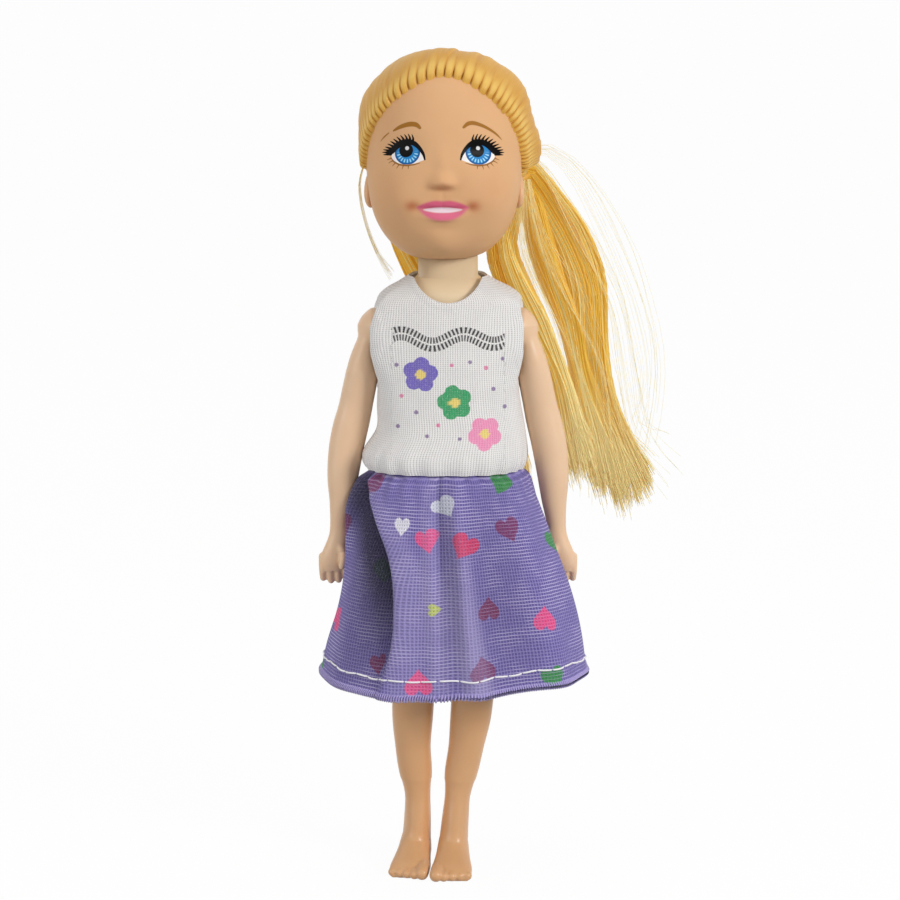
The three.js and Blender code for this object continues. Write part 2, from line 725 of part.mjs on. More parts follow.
function armSolid(side) {
  const face = clearance * 1.2;
  const r = arm.shoulderRadius;
  const wide = arm.shoulderWide;
  const ball = turnedX([
    [0, face],
    [r * 0.9, face],
    [r, face + 0.5],
    [r, face + wide * 0.45],
    [r * 0.9, face + wide * 0.7],
    [r * 0.62, face + wide * 0.92],
    [0, face + wide],
  ]);
  const mid = face + wide / 2;
  // [share of the length, outward share of the splay, forward offset, half widths across and through]
  const rows = [
    [0, 0, 0, arm.upper * 0.85, arm.upper],
    [0.14, 0.1, 0, arm.upper * 0.92, arm.upper * 1.02],
    [0.26, 0.24, 0.3, arm.upper * 0.95, arm.upper],
    [0.38, 0.4, 0.7, arm.upper, arm.upper * 0.98],
    [0.48, 0.52, 0.9, arm.elbow, arm.elbow * 0.96],
    [0.6, 0.66, 0.8, arm.elbow, arm.elbow * 0.92],
    [0.75, 0.8, 0.5, arm.elbow * 0.88, arm.elbow * 0.83],
    [0.88, 0.91, 0.3, arm.wrist * 1.28, arm.wrist * 1.2],
    [1, 1, 0.2, arm.wrist, arm.wrist * 0.95],
    [1.06, 1.04, 0.1, arm.wrist * 1.08, arm.wrist * 0.92],
    [1.14, 1.16, 0, arm.fingerRadius * 3.3, arm.wrist * 0.92],
    [1.2, 1.22, 0, arm.fingerRadius * 3.5, arm.wrist * 0.8],
    [1.24, 1.24, 0, arm.fingerRadius * 3, arm.wrist * 0.55],
  ];
  const rings = [];
  const levels = 18;
  for (let k = 0; k <= levels; k++) {
    const t = (k / levels) * 1.24;
    const [out, y, across, through] = between(rows, t);
    rings.push(oval(mid + out * arm.splay, y, -t * arm.length, across, through, through, 13));
  }
  const palm = mid + 1.22 * arm.splay;
  const knuckles = -1.18 * arm.length;
  const fingers = [-1.5, -0.5, 0.5, 1.5].map((n) => {
    const x = palm + n * arm.fingerRadius * 1.75;
    const long = arm.fingerLength * (Math.abs(n) > 1 ? 0.86 : 1);
    return digit(
      [
        V(x, 0.1, knuckles + 0.6),
        V(x + n * 0.1, -0.1, knuckles - long * 0.45),
        V(x + n * 0.12, 0.5, knuckles - long * 0.85),
      ],
      arm.fingerRadius,
      arm.fingerRadius * 0.85,
    );
  });
  const thumb = digit(
    [
      V(palm - 1.2, -0.8, knuckles + 2.6),
      V(palm - 1.9, -1.6, knuckles + 0.9),
      V(palm - 1.5, -1.9, knuckles - 0.9),
    ],
    arm.fingerRadius * 1.1,
    arm.fingerRadius * 0.9,
  );
  const whole = joined([ball, solid(skin(rings)), ...fingers, thumb, limbPeg(0, face)]);
  return side > 0 ? whole : whole.mirror([1, 0, 0]);
}

// Legs: a hip turned about its own axis, a lofted leg, and a foot with toes on a flat sole.

const toes = [0, 1, 2, 3, 4]; // the great toe first, on the inner side

// The flat sole: its share of the foot's width, how tight its edge is, and the arch between heel and ball.
const sole = {
  width: 0.96,
  squareness: 0.6,
  edge: 4,
  arch: 1.7,
  archAt: -1.2,
  archReach: 4.2,
  outerArch: 0.75,
};

// How far each foot stands behind the hips.
const stance = (side) => leg.standBack - side * leg.stride;

function foot(side) {
  const w = leg.footHalfWidth;
  // [y, half width, height]
  const rows = [
    [leg.heel, w * 0.58, 2.6],
    [leg.heel - 1, w * 0.73, 5.2],
    [leg.heel - 3, w * 0.77, 8.2],
    [0, w * 0.78, 8.4],
    [-leg.footFront * 0.35, w * 0.86, 6.2],
    [-leg.footFront * 0.7, w * 0.98, 4.1],
    [-leg.footFront, w, 2.9],
    [-leg.footFront - 1, w * 0.92, 2.1],
  ].reverse();
  const rings = [];
  const levels = 9;
  for (let k = 0; k <= levels; k++) {
    const y = THREE.MathUtils.lerp(rows[0][0], rows.at(-1)[0], k / levels);
    const [half, high] = between(rows, y);
    rings.push(
      Array.from({ length: 14 }, (_, i) => {
        const a = (i / 14) * 2 * Math.PI;
        const [cos, sin] = [Math.cos(a), Math.sin(a)];
        const edge = Math.min(1, high / 2);
        const along = Math.min(1, Math.abs(y - sole.archAt) / sole.archReach);
        const arch = sole.arch * Math.cos((along * Math.PI) / 2) ** 2;
        const lift = arch * (side * cos > 0 ? sole.outerArch : 1);
        if (sin >= 0) return V(half * cos, y, edge + lift + (high - edge - lift) * sin);
        // the sole is flat nearly to its edge
        const x = half * sole.width * Math.sign(cos) * Math.abs(cos) ** sole.squareness;
        return V(x, y, lift + edge * (1 - Math.min(1, -sole.edge * sin)));
      }),
    );
  }
  const pads = toes.map((n) => {
    const x = side * (-w * 0.68 + n * w * 0.37);
    const r = n ? 0.72 - n * 0.045 : 1.0;
    const reach = -leg.footFront - (n ? 1.75 - n * 0.42 : 1.9);
    return digit([V(x, -leg.footFront + 1.4, r * 1.15), V(x, reach + r, r)], r * 1.05, r);
  });
  return joined([solid(skin(rings)), ...pads]);
}

function legSolid(side) {
  const face = innerFace;
  const r = leg.hipRadius;
  const wide = body.halfWidth - leg.outerInset - face;
  const hip = turnedX([
    [0, face],
    [r, face],
    [r, face + wide * 0.55],
    [r * 0.9, face + wide * 0.8],
    [r * 0.6, face + wide * 0.96],
    [0, face + wide],
  ]);
  const mid = face + wide / 2;
  const down = hipZ;
  const ankle = leg.ankleHeight / down;
  // [height share, middle, lean share, half width, front, back]
  const rows = [
    [0.09, leg.ankleSpread, 1, leg.ankle * 1.15, leg.ankle * 1.5, leg.ankle * 1.4],
    [ankle * 0.75, leg.ankleSpread, 0.86, leg.ankle * 1.08, leg.ankle * 1.3, leg.ankle * 1.2],
    [ankle, leg.ankleSpread, 0.76, leg.ankle, leg.ankle * 1.1, leg.ankle * 1.12],
    [0.3, leg.ankleSpread + 0.3, 0.66, leg.ankle * 1.16, leg.ankle * 1.2, leg.ankle * 1.3],
    [0.38, leg.ankleSpread + 0.75, 0.58, leg.calf * 0.84, leg.calf * 0.86, leg.calf * 1.03],
    [0.46, leg.ankleSpread + 1.15, 0.5, leg.calf * 0.97, leg.calf * 0.95, leg.calf * 1.14],
    [0.53, leg.ankleSpread + 1.4, 0.44, leg.calf, leg.calf, leg.calf * 1.15],
    [0.61, leg.ankleSpread + 1.6, 0.34, leg.knee, leg.knee * 1.1, leg.knee * 1.05],
    [0.72, leg.ankleSpread + 2.0, 0.2, leg.thigh * 0.95, leg.thigh * 1.08, leg.thigh * 1.08],
    [0.83, mid - 0.85, 0.06, leg.thigh, leg.thigh * 1.16, leg.thigh * 1.18],
    [0.9, mid - 0.1, 0, wide * 0.49, leg.hipRadius * 0.93, leg.hipRadius * 0.93],
    [1, mid, 0, wide * 0.48, leg.hipRadius * 0.9, leg.hipRadius * 0.9],
  ];
  const rings = [];
  const levels = 15;
  for (let k = 0; k <= levels; k++) {
    const t = THREE.MathUtils.lerp(rows[0][0], 1, k / levels);
    const [cx, lean, half, front, back] = between(rows, t);
    const at = [side * cx + leg.standLean * lean, stance(side) * lean, (t - 1) * down];
    rings.push(oval(...at, half, front, back, 14));
  }
  const standing = foot(side)
    .rotate([0, 0, -(side > 0 ? leg.footTurn.left : leg.footTurn.right)])
    .translate([side * leg.ankleSpread + leg.standLean, stance(side), -down]);
  const turnedParts = hip.add(limbPeg(body.crotchHalfWidth, face));
  return joined([side > 0 ? turnedParts : turnedParts.mirror([1, 0, 0]), solid(skin(rings)), standing]);
}

// Dress: sheets that run once round the body and lap over each other at the back.

// [share of the waist to the neckline, and how far it stands outside the chest at the side, front and back]
const bodiceRows = [
  [0, 1.9, 2.4, 2.4],
  [0.05, 2.4, 3.0, 2.6],
  [0.11, 2.3, 2.9, 2.6],
  [0.21, 1.6, 2.1, 2.4],
  [0.33, 1.2, 1.6, 2.3],
  [0.46, 0.9, 1.4, 2.2],
  [0.58, 0.8, 1.2, 2.2],
  [0.71, 0.8, 0.8, 2.2],
  [0.81, 0.9, 0.4, 2.1],
  [0.88, 1.0, -0.1, 1.9],
  [0.925, -0.3, -0.7, 1.5],
  [0.965, -2.5, -1.0, 1.2],
  [1, -4.3, -1.2, 1.0],
];
const bodiceTop = 1.237 * body.shoulderRise;

// A point of a garment that laps at the back: u runs round from one back edge to the other.
function lapped(u, half, front, back, z, power, lap, step) {
  const lapAngle = lap / (half + back);
  const a = THREE.MathUtils.lerp(Math.PI / 2 - lapAngle, 2.5 * Math.PI + lapAngle, u);
  const bulge = (v) => Math.sign(v) * Math.abs(v) ** (2 / power);
  const y = bulge(Math.sin(a));
  const under = 1 - THREE.MathUtils.smoothstep(u, 0.04, 0.1);
  return V(half * bulge(Math.cos(a)), (y < 0 ? front : back) * y - step * under * Math.max(0, y), z);
}

const stripGap = clearance * 0.85;
const bodicePower = 2.4;

// How far the under edge of the lap lies inside the upper one, with the closure between them.
const lapStep = cloth.knit + 2 * cloth.stripThick + 3 * stripGap;

function bodiceSection(v) {
  const [side, front, back] = between(bodiceRows, v);
  return [body.halfWidth + side, body.front + front, body.back + back];
}

const bodiceHeight = (v) => THREE.MathUtils.lerp(cloth.waistRise, bodiceTop, v);

function bodicePoint(u, v) {
  return lapped(u, ...bodiceSection(v), bodiceHeight(v), bodicePower, cloth.lapWidth / 2, lapStep);
}

function grid(across, up, point) {
  return Array.from({ length: up + 1 }, (_, r) =>
    Array.from({ length: across + 1 }, (_, c) => point(c / across, r / up)),
  );
}

const neckline = { halfWidth: 6.4, frontDrop: 7.6, backDrop: 4.4, middle: 3.6 };
const armhole = { around: 1.2, lengthened: 2, lowered: 1.7 }; // outside the shoulder of the arm

function bodice() {
  let cut = solid(thickSheet(grid(34, 10, bodicePoint), cloth.knit));
  // the neckline is scooped from the front and less from the back
  for (const [drop, way] of [[neckline.frontDrop, -1], [neckline.backDrop, 1]]) {
    const scoop = new THREE.CylinderGeometry(1, 1, 2 * body.back, 24);
    scoop.scale(neckline.halfWidth, 1, drop).translate(0, way * body.back, bodiceTop + neckline.middle);
    cut = cut.subtract(solid(scoop));
  }
  for (const side of Object.values(SIDES)) {
    const hole = new THREE.CylinderGeometry(1, 1, 8, 20).rotateZ(Math.PI / 2);
    const reach = arm.shoulderRadius + armhole.around;
    hole.scale(1, reach, reach + armhole.lengthened);
    hole.translate(side * (shoulderFace + 2), 0, body.shoulderRise - armhole.lowered);
    cut = cut.subtract(solid(hole));
  }
  return cut;
}

// The two strips of the closure lie between the lapped edges, this far inside the outer face of the bodice.
function closureStrip(inset) {
  const half = cloth.stripWidth / 2;
  const rows = [0.08, 0.3, 0.55, 0.8].map((v) => {
    const [wide, , back] = bodiceSection(v);
    return [half, 0, -half].map((x) => {
      const y = back * (1 - Math.abs(x / wide) ** bodicePower) ** (1 / bodicePower);
      return V(x, y - inset, bodiceHeight(v));
    });
  });
  return thickSheet(rows, cloth.stripThick);
}

// [share of the drop from the seam to the hem, share of the flare, share of the shift]
const skirtRows = [
  [0, 0, 0],
  [0.09, 0.12, 0],
  [0.21, 0.25, 0.15],
  [0.35, 0.39, 0.4],
  [0.5, 0.55, 0.6],
  [0.68, 0.72, 0.75],
  [0.85, 0.88, 0.9],
  [1, 1, 1],
];

// Folds that fall from the gathers: place round the skirt at the seam and its drift to the hem, half width,
// all in turns from the middle of the back, and their heights at the seam and at the hem.
const folds = [
  { at: 0.298, drift: 0, width: 0.022, seam: 2.2, hem: 0.3 },
  { at: 0.342, drift: 0.035, width: 0.02, seam: -2.4, hem: -0.7 }, // the deep pleat
  { at: 0.4, drift: 0.02, width: 0.035, seam: 0.5, hem: 0.9 },
  { at: 0.492, drift: 0, width: 0.014, seam: -1.3, hem: -0.6 }, // the knife pleat
  { at: 0.57, drift: 0.01, width: 0.045, seam: 0.3, hem: 0.9 },
  { at: 0.655, drift: 0.01, width: 0.03, seam: -0.4, hem: -0.9 },
  { at: 0.71, drift: 0, width: 0.03, seam: 0.3, hem: 0.7 },
  { at: 0.81, drift: 0, width: 0.03, seam: -0.5, hem: -1 },
  { at: 0.87, drift: 0, width: 0.03, seam: 0.4, hem: 0.7 },
  { at: 0.21, drift: 0, width: 0.03, seam: -0.4, hem: -0.9 },
  { at: 0.14, drift: 0, width: 0.03, seam: 0.4, hem: 0.8 },
];
const handPress = { depth: 3.0, height: -2.5, reach: 8.5, width: 0.05, at: [0.25, 0.75] };
const skirtDrop = cloth.hemDrop + cloth.waistRise - clearance;
const frontHang = { at: 0.46, width: 0.16 }; // where the hem hangs lowest, in turns
const skirtPower = 2.2;

function skirtPoint(u, v, out = 0) {
  const [flare, shift] = between(skirtRows, v);
  let swell = out;
  for (const f of folds) {
    const d = (u - f.at - f.drift * v) / f.width;
    swell += THREE.MathUtils.lerp(f.seam, f.hem, v) * Math.exp(-d * d);
  }
  const frontness = Math.exp(-(((u - frontHang.at) / frontHang.width) ** 2));
  const z = cloth.waistRise - clearance - v * (skirtDrop + cloth.frontDrop * frontness);
  // each hand presses the side of the skirt in
  const beside = Math.min(...handPress.at.map((at) => Math.abs(u - at))) / handPress.width;
  const level = (z - handPress.height) / handPress.reach;
  swell -= handPress.depth * Math.exp(-beside * beside - level * level);
  const size = (chest, seam, hem) => chest + THREE.MathUtils.lerp(seam, hem, flare) + swell;
  const wide = size(body.halfWidth, cloth.seamSide, cloth.hemSide);
  const front = size(body.front, cloth.seamFront, cloth.hemFront);
  const back = size(body.back, cloth.seamBack, cloth.hemBack);
  const p = lapped(u, wide, front, back, z, skirtPower, cloth.lapWidth / 2, cloth.print + clearance);
  return p.add(V(cloth.hemShift * shift, 0, 0));
}

function skirt() {
  return thickSheet(
    grid(56, 8, (u, v) => skirtPoint(u, 1 - v)),
    cloth.print,
  );
}

function hemStitch() {
  const v = 1 - cloth.stitchRise / skirtDrop;
  const off = cloth.thread + clearance;
  const count = 52;
  const rings = [];
  for (let k = 0; k <= count; k++) {
    const u = THREE.MathUtils.lerp(0.045, 0.99, k / count);
    const p = skirtPoint(u, v, off);
    const out = V().subVectors(skirtPoint(u, v, off + 1), p).normalize();
    rings.push(
      [0, 1, 2, 3].map((i) => {
        const a = (i / 4) * 2 * Math.PI;
        return p
          .clone()
          .addScaledVector(out, cloth.thread * Math.cos(a))
          .add(V(0, 0, cloth.thread * Math.sin(a)));
      }),
    );
  }
  return skin(rings);
}

// Assembly

const finish = {
  limb: [0xe3bc95, 0.42],
  vinyl: [0xdfb48c, 0.5],
  shell: [0xe9d2b0, 0.35],
  hair: [0xe9b548, 0.38],
  elastic: [0xe8c874, 0.55],
  knit: [0xf0efec, 0.9],
  print: [0x8f7fc4, 0.85],
  thread: [0xf4f3f6, 0.8],
  tape: [0xf2f1ee, 0.95],
};

function piece(name, shape, [color, roughness]) {
  const geometry = shape.isBufferGeometry ? shape : geometryOf(shape);
  const mesh = new THREE.Mesh(geometry, new THREE.MeshStandardMaterial({ color, roughness, metalness: 0 }));
  mesh.name = name;
  return mesh;
}

function placed(x, y, z, ...meshes) {
  const group = new THREE.Group();
  group.position.set(x, y, z);
  return group.add(...meshes);
}

const shells = torsoShells();
const nape = lock(
  napeLock.points.map((p) => V(p[0], p[1] - neck.y, p[2])),
  napeLock.across,
  tailThick,
  12,
);

const doll = new THREE.Group();
doll.add(
  placed(
    0,
    0,
    hipZ,
    piece("torso_front", shells.front, finish.shell),
    piece("torso_back", shells.back, finish.shell),
    piece("bodice", bodice(), finish.knit),
    piece("closure_hook_strip", closureStrip(cloth.knit + stripGap), finish.tape),
    piece("closure_loop_strip", closureStrip(cloth.knit + 2 * stripGap + cloth.stripThick), finish.tape),
    piece("skirt", skirt(), finish.print),
    piece("hem_stitch", hemStitch(), finish.thread),
  ),
  placed(
    0,
    neck.y,
    neckZ,
    piece("head_shell", headShell(), finish.vinyl),
    piece("hair_cap", hairCap(), finish.hair),
    piece("hair_elastic", hairElastic(), finish.elastic),
    piece("ponytail", ponytail(), finish.hair),
    piece("nape_lock", nape, finish.hair),
  ),
);
for (const [name, side] of Object.entries(SIDES)) {
  const limb = piece("arm_" + name, armSolid(side), finish.limb);
  const shoulder = placed(side * shoulderFace, 0, shoulderZ, limb);
  shoulder.rotation.y = side * rad(arm.cant);
  doll.add(shoulder);
  doll.add(placed(0, 0, hipZ, piece("leg_" + name, legSolid(side), finish.limb)));
}

// The origin is under the middle of the whole, on the ground.
const whole = new THREE.Box3().setFromObject(doll, true);
const middle = whole.getCenter(V());
doll.position.set(-middle.x, -middle.y, 0);

export default doll;
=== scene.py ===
# A jointed child doll with a side ponytail, standing in a sleeveless dress.
# Shapes are worked out in millimetres in the doll's own axes: it faces -Y, its left hand is on +X
# and the soles stand at z 0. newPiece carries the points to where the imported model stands.

import json
import math
import bpy
import numpy as np
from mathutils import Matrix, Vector


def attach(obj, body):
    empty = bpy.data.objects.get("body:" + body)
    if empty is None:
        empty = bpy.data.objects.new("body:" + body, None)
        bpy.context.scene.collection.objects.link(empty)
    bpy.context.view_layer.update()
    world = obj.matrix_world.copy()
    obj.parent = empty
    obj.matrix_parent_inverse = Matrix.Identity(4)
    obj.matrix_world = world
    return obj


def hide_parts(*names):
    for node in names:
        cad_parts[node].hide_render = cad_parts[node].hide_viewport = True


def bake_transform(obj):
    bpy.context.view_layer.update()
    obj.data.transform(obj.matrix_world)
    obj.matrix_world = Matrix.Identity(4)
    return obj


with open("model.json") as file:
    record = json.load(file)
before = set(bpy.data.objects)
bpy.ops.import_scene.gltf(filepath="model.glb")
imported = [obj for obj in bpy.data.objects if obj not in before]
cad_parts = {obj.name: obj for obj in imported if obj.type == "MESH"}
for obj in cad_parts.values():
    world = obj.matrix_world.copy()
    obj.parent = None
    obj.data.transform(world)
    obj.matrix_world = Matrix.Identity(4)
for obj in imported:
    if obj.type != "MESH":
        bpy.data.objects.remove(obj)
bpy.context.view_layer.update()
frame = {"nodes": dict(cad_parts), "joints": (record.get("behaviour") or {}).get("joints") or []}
joints = {j["name"]: j for j in frame["joints"]}
mm = 0.001
farOff = 9.0  # painted distance, in mm, where a form is nowhere near
hipPlace = np.array(joints["hip_left"]["pos_m"]) / mm
dollOrigin = np.array([hipPlace[0], hipPlace[1], 0.0])
hipZ = hipPlace[2]
shoulderZ = joints["arm_left_swing"]["pos_m"][2] / mm
neckZ = joints["head_turn"]["pos_m"][2] / mm
neckY = joints["head_turn"]["pos_m"][1] / mm - dollOrigin[1]
print("frame loaded,", len(frame["nodes"]), "nodes")


# Small sums that every piece shares

def ramp(x, low, high):
    # 0 below low, 1 above high, and 3t^2 - 2t^3 between
    t = np.clip((x - low) / (high - low), 0, 1)
    return t * t * (3 - 2 * t)


def unit(v):
    # each vector divided by its length
    return v / np.maximum(np.linalg.norm(v, axis=-1, keepdims=True), 1e-12)


def between(rows, t):
    # smooth curve through rows [t, a, b, ...]: cubic pieces whose slopes come from the neighbouring rows
    rows = np.asarray(rows, float)
    t = np.asarray(t, float)
    last = len(rows) - 1
    i = np.clip(np.searchsorted(rows[:, 0], t, side="left") - 1, 0, last - 1)
    p0, p1, p2, p3 = (rows[np.clip(i + k, 0, last)] for k in (-1, 0, 1, 2))
    span = (p2[..., :1] - p1[..., :1])
    s = np.clip((t[..., None] - p1[..., :1]) / span, 0, 1)
    m1 = (p2 - p0) / np.maximum(p2[..., :1] - p0[..., :1], 1e-9) * span
    m2 = (p3 - p1) / np.maximum(p3[..., :1] - p1[..., :1], 1e-9) * span
    value = ((2 * s**3 - 3 * s**2 + 1) * p1 + (s**3 - 2 * s**2 + s) * m1
             + (3 * s**2 - 2 * s**3) * p2 + (s**3 - s**2) * m2)
    return np.moveaxis(value[..., 1:], -1, 0)


def through(points, t, closed=False):
    # Catmull-Rom curve through points, read at t from 0 to 1
    points = np.asarray(points, float)
    n = len(points)
    place = np.asarray(t, float) * (n if closed else n - 1)
    i = np.floor(place).astype(int)
    if not closed:
        i = np.clip(i, 0, n - 2)
    s = (place - i)[..., None]
    pick = (lambda k: points[k % n]) if closed else (lambda k: points[np.clip(k, 0, n - 1)])
    p0, p1, p2, p3 = pick(i - 1), pick(i), pick(i + 1), pick(i + 2)
    return 0.5 * (2 * p1 + (p2 - p0) * s + (2 * p0 - 5 * p1 + 4 * p2 - p3) * s**2
                  + (3 * p1 - p0 - 3 * p2 + p3) * s**3)


def evenly(points, count, closed=False):
    # the same curve at count places that lie equally far apart along it
    fine = through(points, np.linspace(0, 1, 40 * len(points)), closed)
    length = np.concatenate([[0], np.cumsum(np.linalg.norm(np.diff(fine, axis=0), axis=1))])
    want = np.linspace(0, length[-1], count)
    return np.stack([np.interp(want, length, fine[:, k]) for k in range(fine.shape[1])], -1)


def bulge(v, power):
    # sine or cosine squared off: power 2 is a circle, more is nearer a square
    return np.sign(v) * np.abs(v) ** (2 / power)


def turnMatrix(axis, degrees):
    # a turn about one axis
    c, s = math.cos(math.radians(degrees)), math.sin(math.radians(degrees))
    return np.array({
        "x": [[1, 0, 0], [0, c, -s], [0, s, c]],
        "y": [[c, 0, s], [0, 1, 0], [-s, 0, c]],
        "z": [[c, -s, 0], [s, c, 0], [0, 0, 1]],
    }[axis])


def circle(n):
    # cosine and sine of n equal steps round a turn
    turn = 2 * np.pi * np.arange(n) / n
    return np.cos(turn), np.sin(turn)


def ringsAlong(centre, along, side, radius, sides):
    # circles square to a path: cosine of the radius to the side and sine of it across both
    cos, sin = circle(sides)
    over = np.cross(side, along)
    return centre[..., None, :] + radius[..., None, None] * (
        cos[:, None] * side[..., None, :] + sin[:, None] * over[..., None, :])


def ripple(x, y, seed, waves=7, scale=1.0):
    # smooth unevenness from -1 to 1: a sum of sines in turned directions with fixed phases
    rng = np.random.default_rng(seed)
    total = np.zeros(np.broadcast(x, y).shape)
    for k in range(waves):
        way = rng.uniform(0, 2 * np.pi)
        rate = scale * rng.uniform(0.6, 1.8)
        total += np.sin(rate * (x * np.cos(way) + y * np.sin(way)) + rng.uniform(0, 2 * np.pi))
    return total / waves * 1.6


def gridFaces(rows, cols, wrap=False, loop=False):
    # quads between neighbours of a grid of points; wrapped, the last column meets the first,
    # and looped, the last row meets the first
    r, c = np.meshgrid(np.arange(rows - (not loop)), np.arange(cols - (not wrap)), indexing="ij")
    here, below, beside = r * cols, (r + 1) % rows * cols, (c + 1) % cols
    return np.stack([here + c, here + beside, below + beside, below + c], -1).reshape(-1, 4)


def closedRings(rings):
    # rings of equal length joined by quads, with a fan to the middle of each end ring
    count, n = rings.shape[:2]
    points = np.concatenate([rings.reshape(-1, 3), rings[:1].mean(1), rings[-1:].mean(1)])
    i = np.arange(n)
    j = (i + 1) % n
    end = (count - 1) * n
    first = np.stack([np.full(n, count * n), j, i], -1)
    last = np.stack([np.full(n, count * n + 1), end + i, end + j], -1)
    return points, [gridFaces(count, n, wrap=True), np.concatenate([first, last])]


def joinShells(shells):
    # several closed shells as one list of points and faces
    points = np.concatenate([p for p, _ in shells])
    start = np.cumsum([0] + [len(p) for p, _ in shells])
    faces = []
    for size in (3, 4):
        same = [f + s for (_, group), s in zip(shells, start) for f in group if f.shape[1] == size]
        if same:
            faces.append(np.concatenate(same))
    return points, faces


def thickSheet(grid, thickness):
    # a sheet and its copy further in along the normals, joined by quads round the four edges
    rows, cols = grid.shape[:2]
    along, up = np.gradient(grid, axis=1), np.gradient(grid, axis=0)
    inner = grid - unit(np.cross(along, up)) * np.broadcast_to(thickness, (rows, cols))[..., None]
    outerFaces = gridFaces(rows, cols)
    size = rows * cols
    edge = np.concatenate([
        np.arange(cols), np.arange(2, rows) * cols - 1, size - 1 - np.arange(cols),
        np.arange(rows - 2, 0, -1) * cols])
    nextEdge = np.roll(edge, -1)
    rim = np.stack([edge, edge + size, nextEdge + size, nextEdge], -1)
    faces = np.concatenate([outerFaces, outerFaces[:, ::-1] + size, rim])
    return np.concatenate([grid.reshape(-1, 3), inner.reshape(-1, 3)]), [faces]


def enclosed(points, faces):
    # signed volume: a sixth of the sum of a . (b x c) over a fan of each face
    total = 0.0
    for group in faces:
        a = points[group[:, 0]]
        for k in range(1, group.shape[1] - 1):
            total += np.einsum("ij,ij->", a, np.cross(points[group[:, k]], points[group[:, k + 1]]))
    return total / 6


def newPiece(name, points, faces, uv=None):
    # a mesh object at the origin from points in the doll's axes; faces are turned to look out
    faces = faces if isinstance(faces, list) else [faces]
    if enclosed(points - points.mean(0), faces) < 0:
        faces = [f[:, ::-1] for f in faces]
        uv = None if uv is None else [c[:, ::-1] for c in uv]
    mesh = bpy.data.meshes.new(name)
    corners = np.concatenate([f.ravel() for f in faces]).astype(np.int32)
    sizes = np.concatenate([np.full(len(f), f.shape[1]) for f in faces])
    mesh.vertices.add(len(points))
    mesh.vertices.foreach_set("co", ((points + dollOrigin) * mm).astype(np.float32).ravel())
    mesh.loops.add(len(corners))
    mesh.loops.foreach_set("vertex_index", corners)
    mesh.polygons.add(len(sizes))
    mesh.polygons.foreach_set("loop_start", (np.cumsum(sizes) - sizes).astype(np.int32))
    mesh.update(calc_edges=True)
    if uv is not None:
        spots = np.concatenate([c.reshape(-1, 2) for c in uv]).astype(np.float32)
        mesh.uv_layers.new(name="UVMap").uv.foreach_set("vector", spots.ravel())
    mesh.shade_smooth()
    piece = bpy.data.objects.new(name, mesh)
    bpy.context.scene.collection.objects.link(piece)
    return piece


def paint(piece, name, values):
    # a value or a colour on each point
    values = np.asarray(values, np.float32)
    colour = values.ndim == 2
    kind = "FLOAT_COLOR" if colour else "FLOAT"
    layer = piece.data.attributes.new(name, kind, "POINT")
    layer.data.foreach_set("color" if colour else "value", values.ravel())


def settled(piece):
    # the piece with its modifiers worked into its mesh
    made = bpy.data.meshes.new_from_object(piece.evaluated_get(bpy.context.evaluated_depsgraph_get()))
    piece.modifiers.clear()
    piece.data = made
    made.name = piece.name
    made.shade_smooth()
    return piece


def remeshed(name, shells, voxel, passes, softZones):
    # several closed shells grown into one skin of small even faces, then softened, most of all in the
    # given height ranges, where one form runs into the next
    piece = newPiece(name, *joinShells(shells))
    grown = piece.modifiers.new("skin", "REMESH")
    grown.mode, grown.voxel_size = "VOXEL", voxel * mm
    softened = piece.modifiers.new("soften", "SMOOTH")
    softened.factor, softened.iterations = 0.5, passes
    settled(piece)
    places = np.empty(len(piece.data.vertices) * 3, np.float32)
    piece.data.vertices.foreach_get("co", places)
    z = places.reshape(-1, 3)[:, 2] / mm
    for k, (low, high, more) in enumerate(softZones):
        zone = piece.vertex_groups.new(name="zone" + str(k))
        zone.add(np.flatnonzero((z > low) & (z < high)).tolist(), 1.0, "REPLACE")
        softened = piece.modifiers.new("soften", "SMOOTH")
        softened.factor, softened.iterations, softened.vertex_group = 0.5, more, zone.name
    settled(piece)
    piece.vertex_groups.clear()
    return piece


def finished(piece, material, slotName, body=None, *replaced):
    # the piece's one material, its slot name (not used), the body it rides on and the solids it stands for
    piece.data.materials.clear()
    piece.data.materials.append(material)
    if body:
        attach(piece, body)
    if replaced:
        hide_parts(*replaced)
    print("  ", piece.name, len(piece.data.loops) - 2 * len(piece.data.polygons), "triangles")
    return piece


# Materials

def rgb(text):
    # linear colour of an sRGB hex text
    values = [int(text[i:i + 2], 16) / 255 for i in (1, 3, 5)]
    return (*[v / 12.92 if v <= 0.04045 else ((v + 0.055) / 1.055) ** 2.4 for v in values], 1.0)


def feed(tree, node, inputs):
    # each input takes a link, a value, or a colour written as a hex text
    for key, value in (inputs.items() if isinstance(inputs, dict) else enumerate(inputs)):
        if isinstance(value, bpy.types.NodeSocket):
            tree.links.new(value, node.inputs[key])
        else:
            node.inputs[key].default_value = rgb(value) if isinstance(value, str) else value


def addNode(tree, kind, inputs=(), output=0, **settings):
    # a node with its settings and inputs, of which one output is handed on
    made = tree.nodes.new("ShaderNode" + kind)
    for key, value in settings.items():
        setattr(made, key, value)
    feed(tree, made, inputs)
    return made.outputs[output]


def sums(tree, operation, *values):
    # one arithmetic step on values or links
    return addNode(tree, "Math", values, operation=operation)


def times(tree, value, *others):
    # the product of all the values
    for other in others:
        value = sums(tree, "MULTIPLY", value, other)
    return value


def waves(tree, along, pitch, shift=0.0):
    # the sine of one turn in each pitch, moved on by the shift
    return sums(tree, "SINE", sums(tree, "MULTIPLY_ADD", along, 2 * math.pi / pitch, shift))


def noise(tree, place, scale, detail):
    # smooth noise from 0 to 1
    return addNode(tree, "TexNoise", {"Vector": place, "Scale": scale, "Detail": detail})


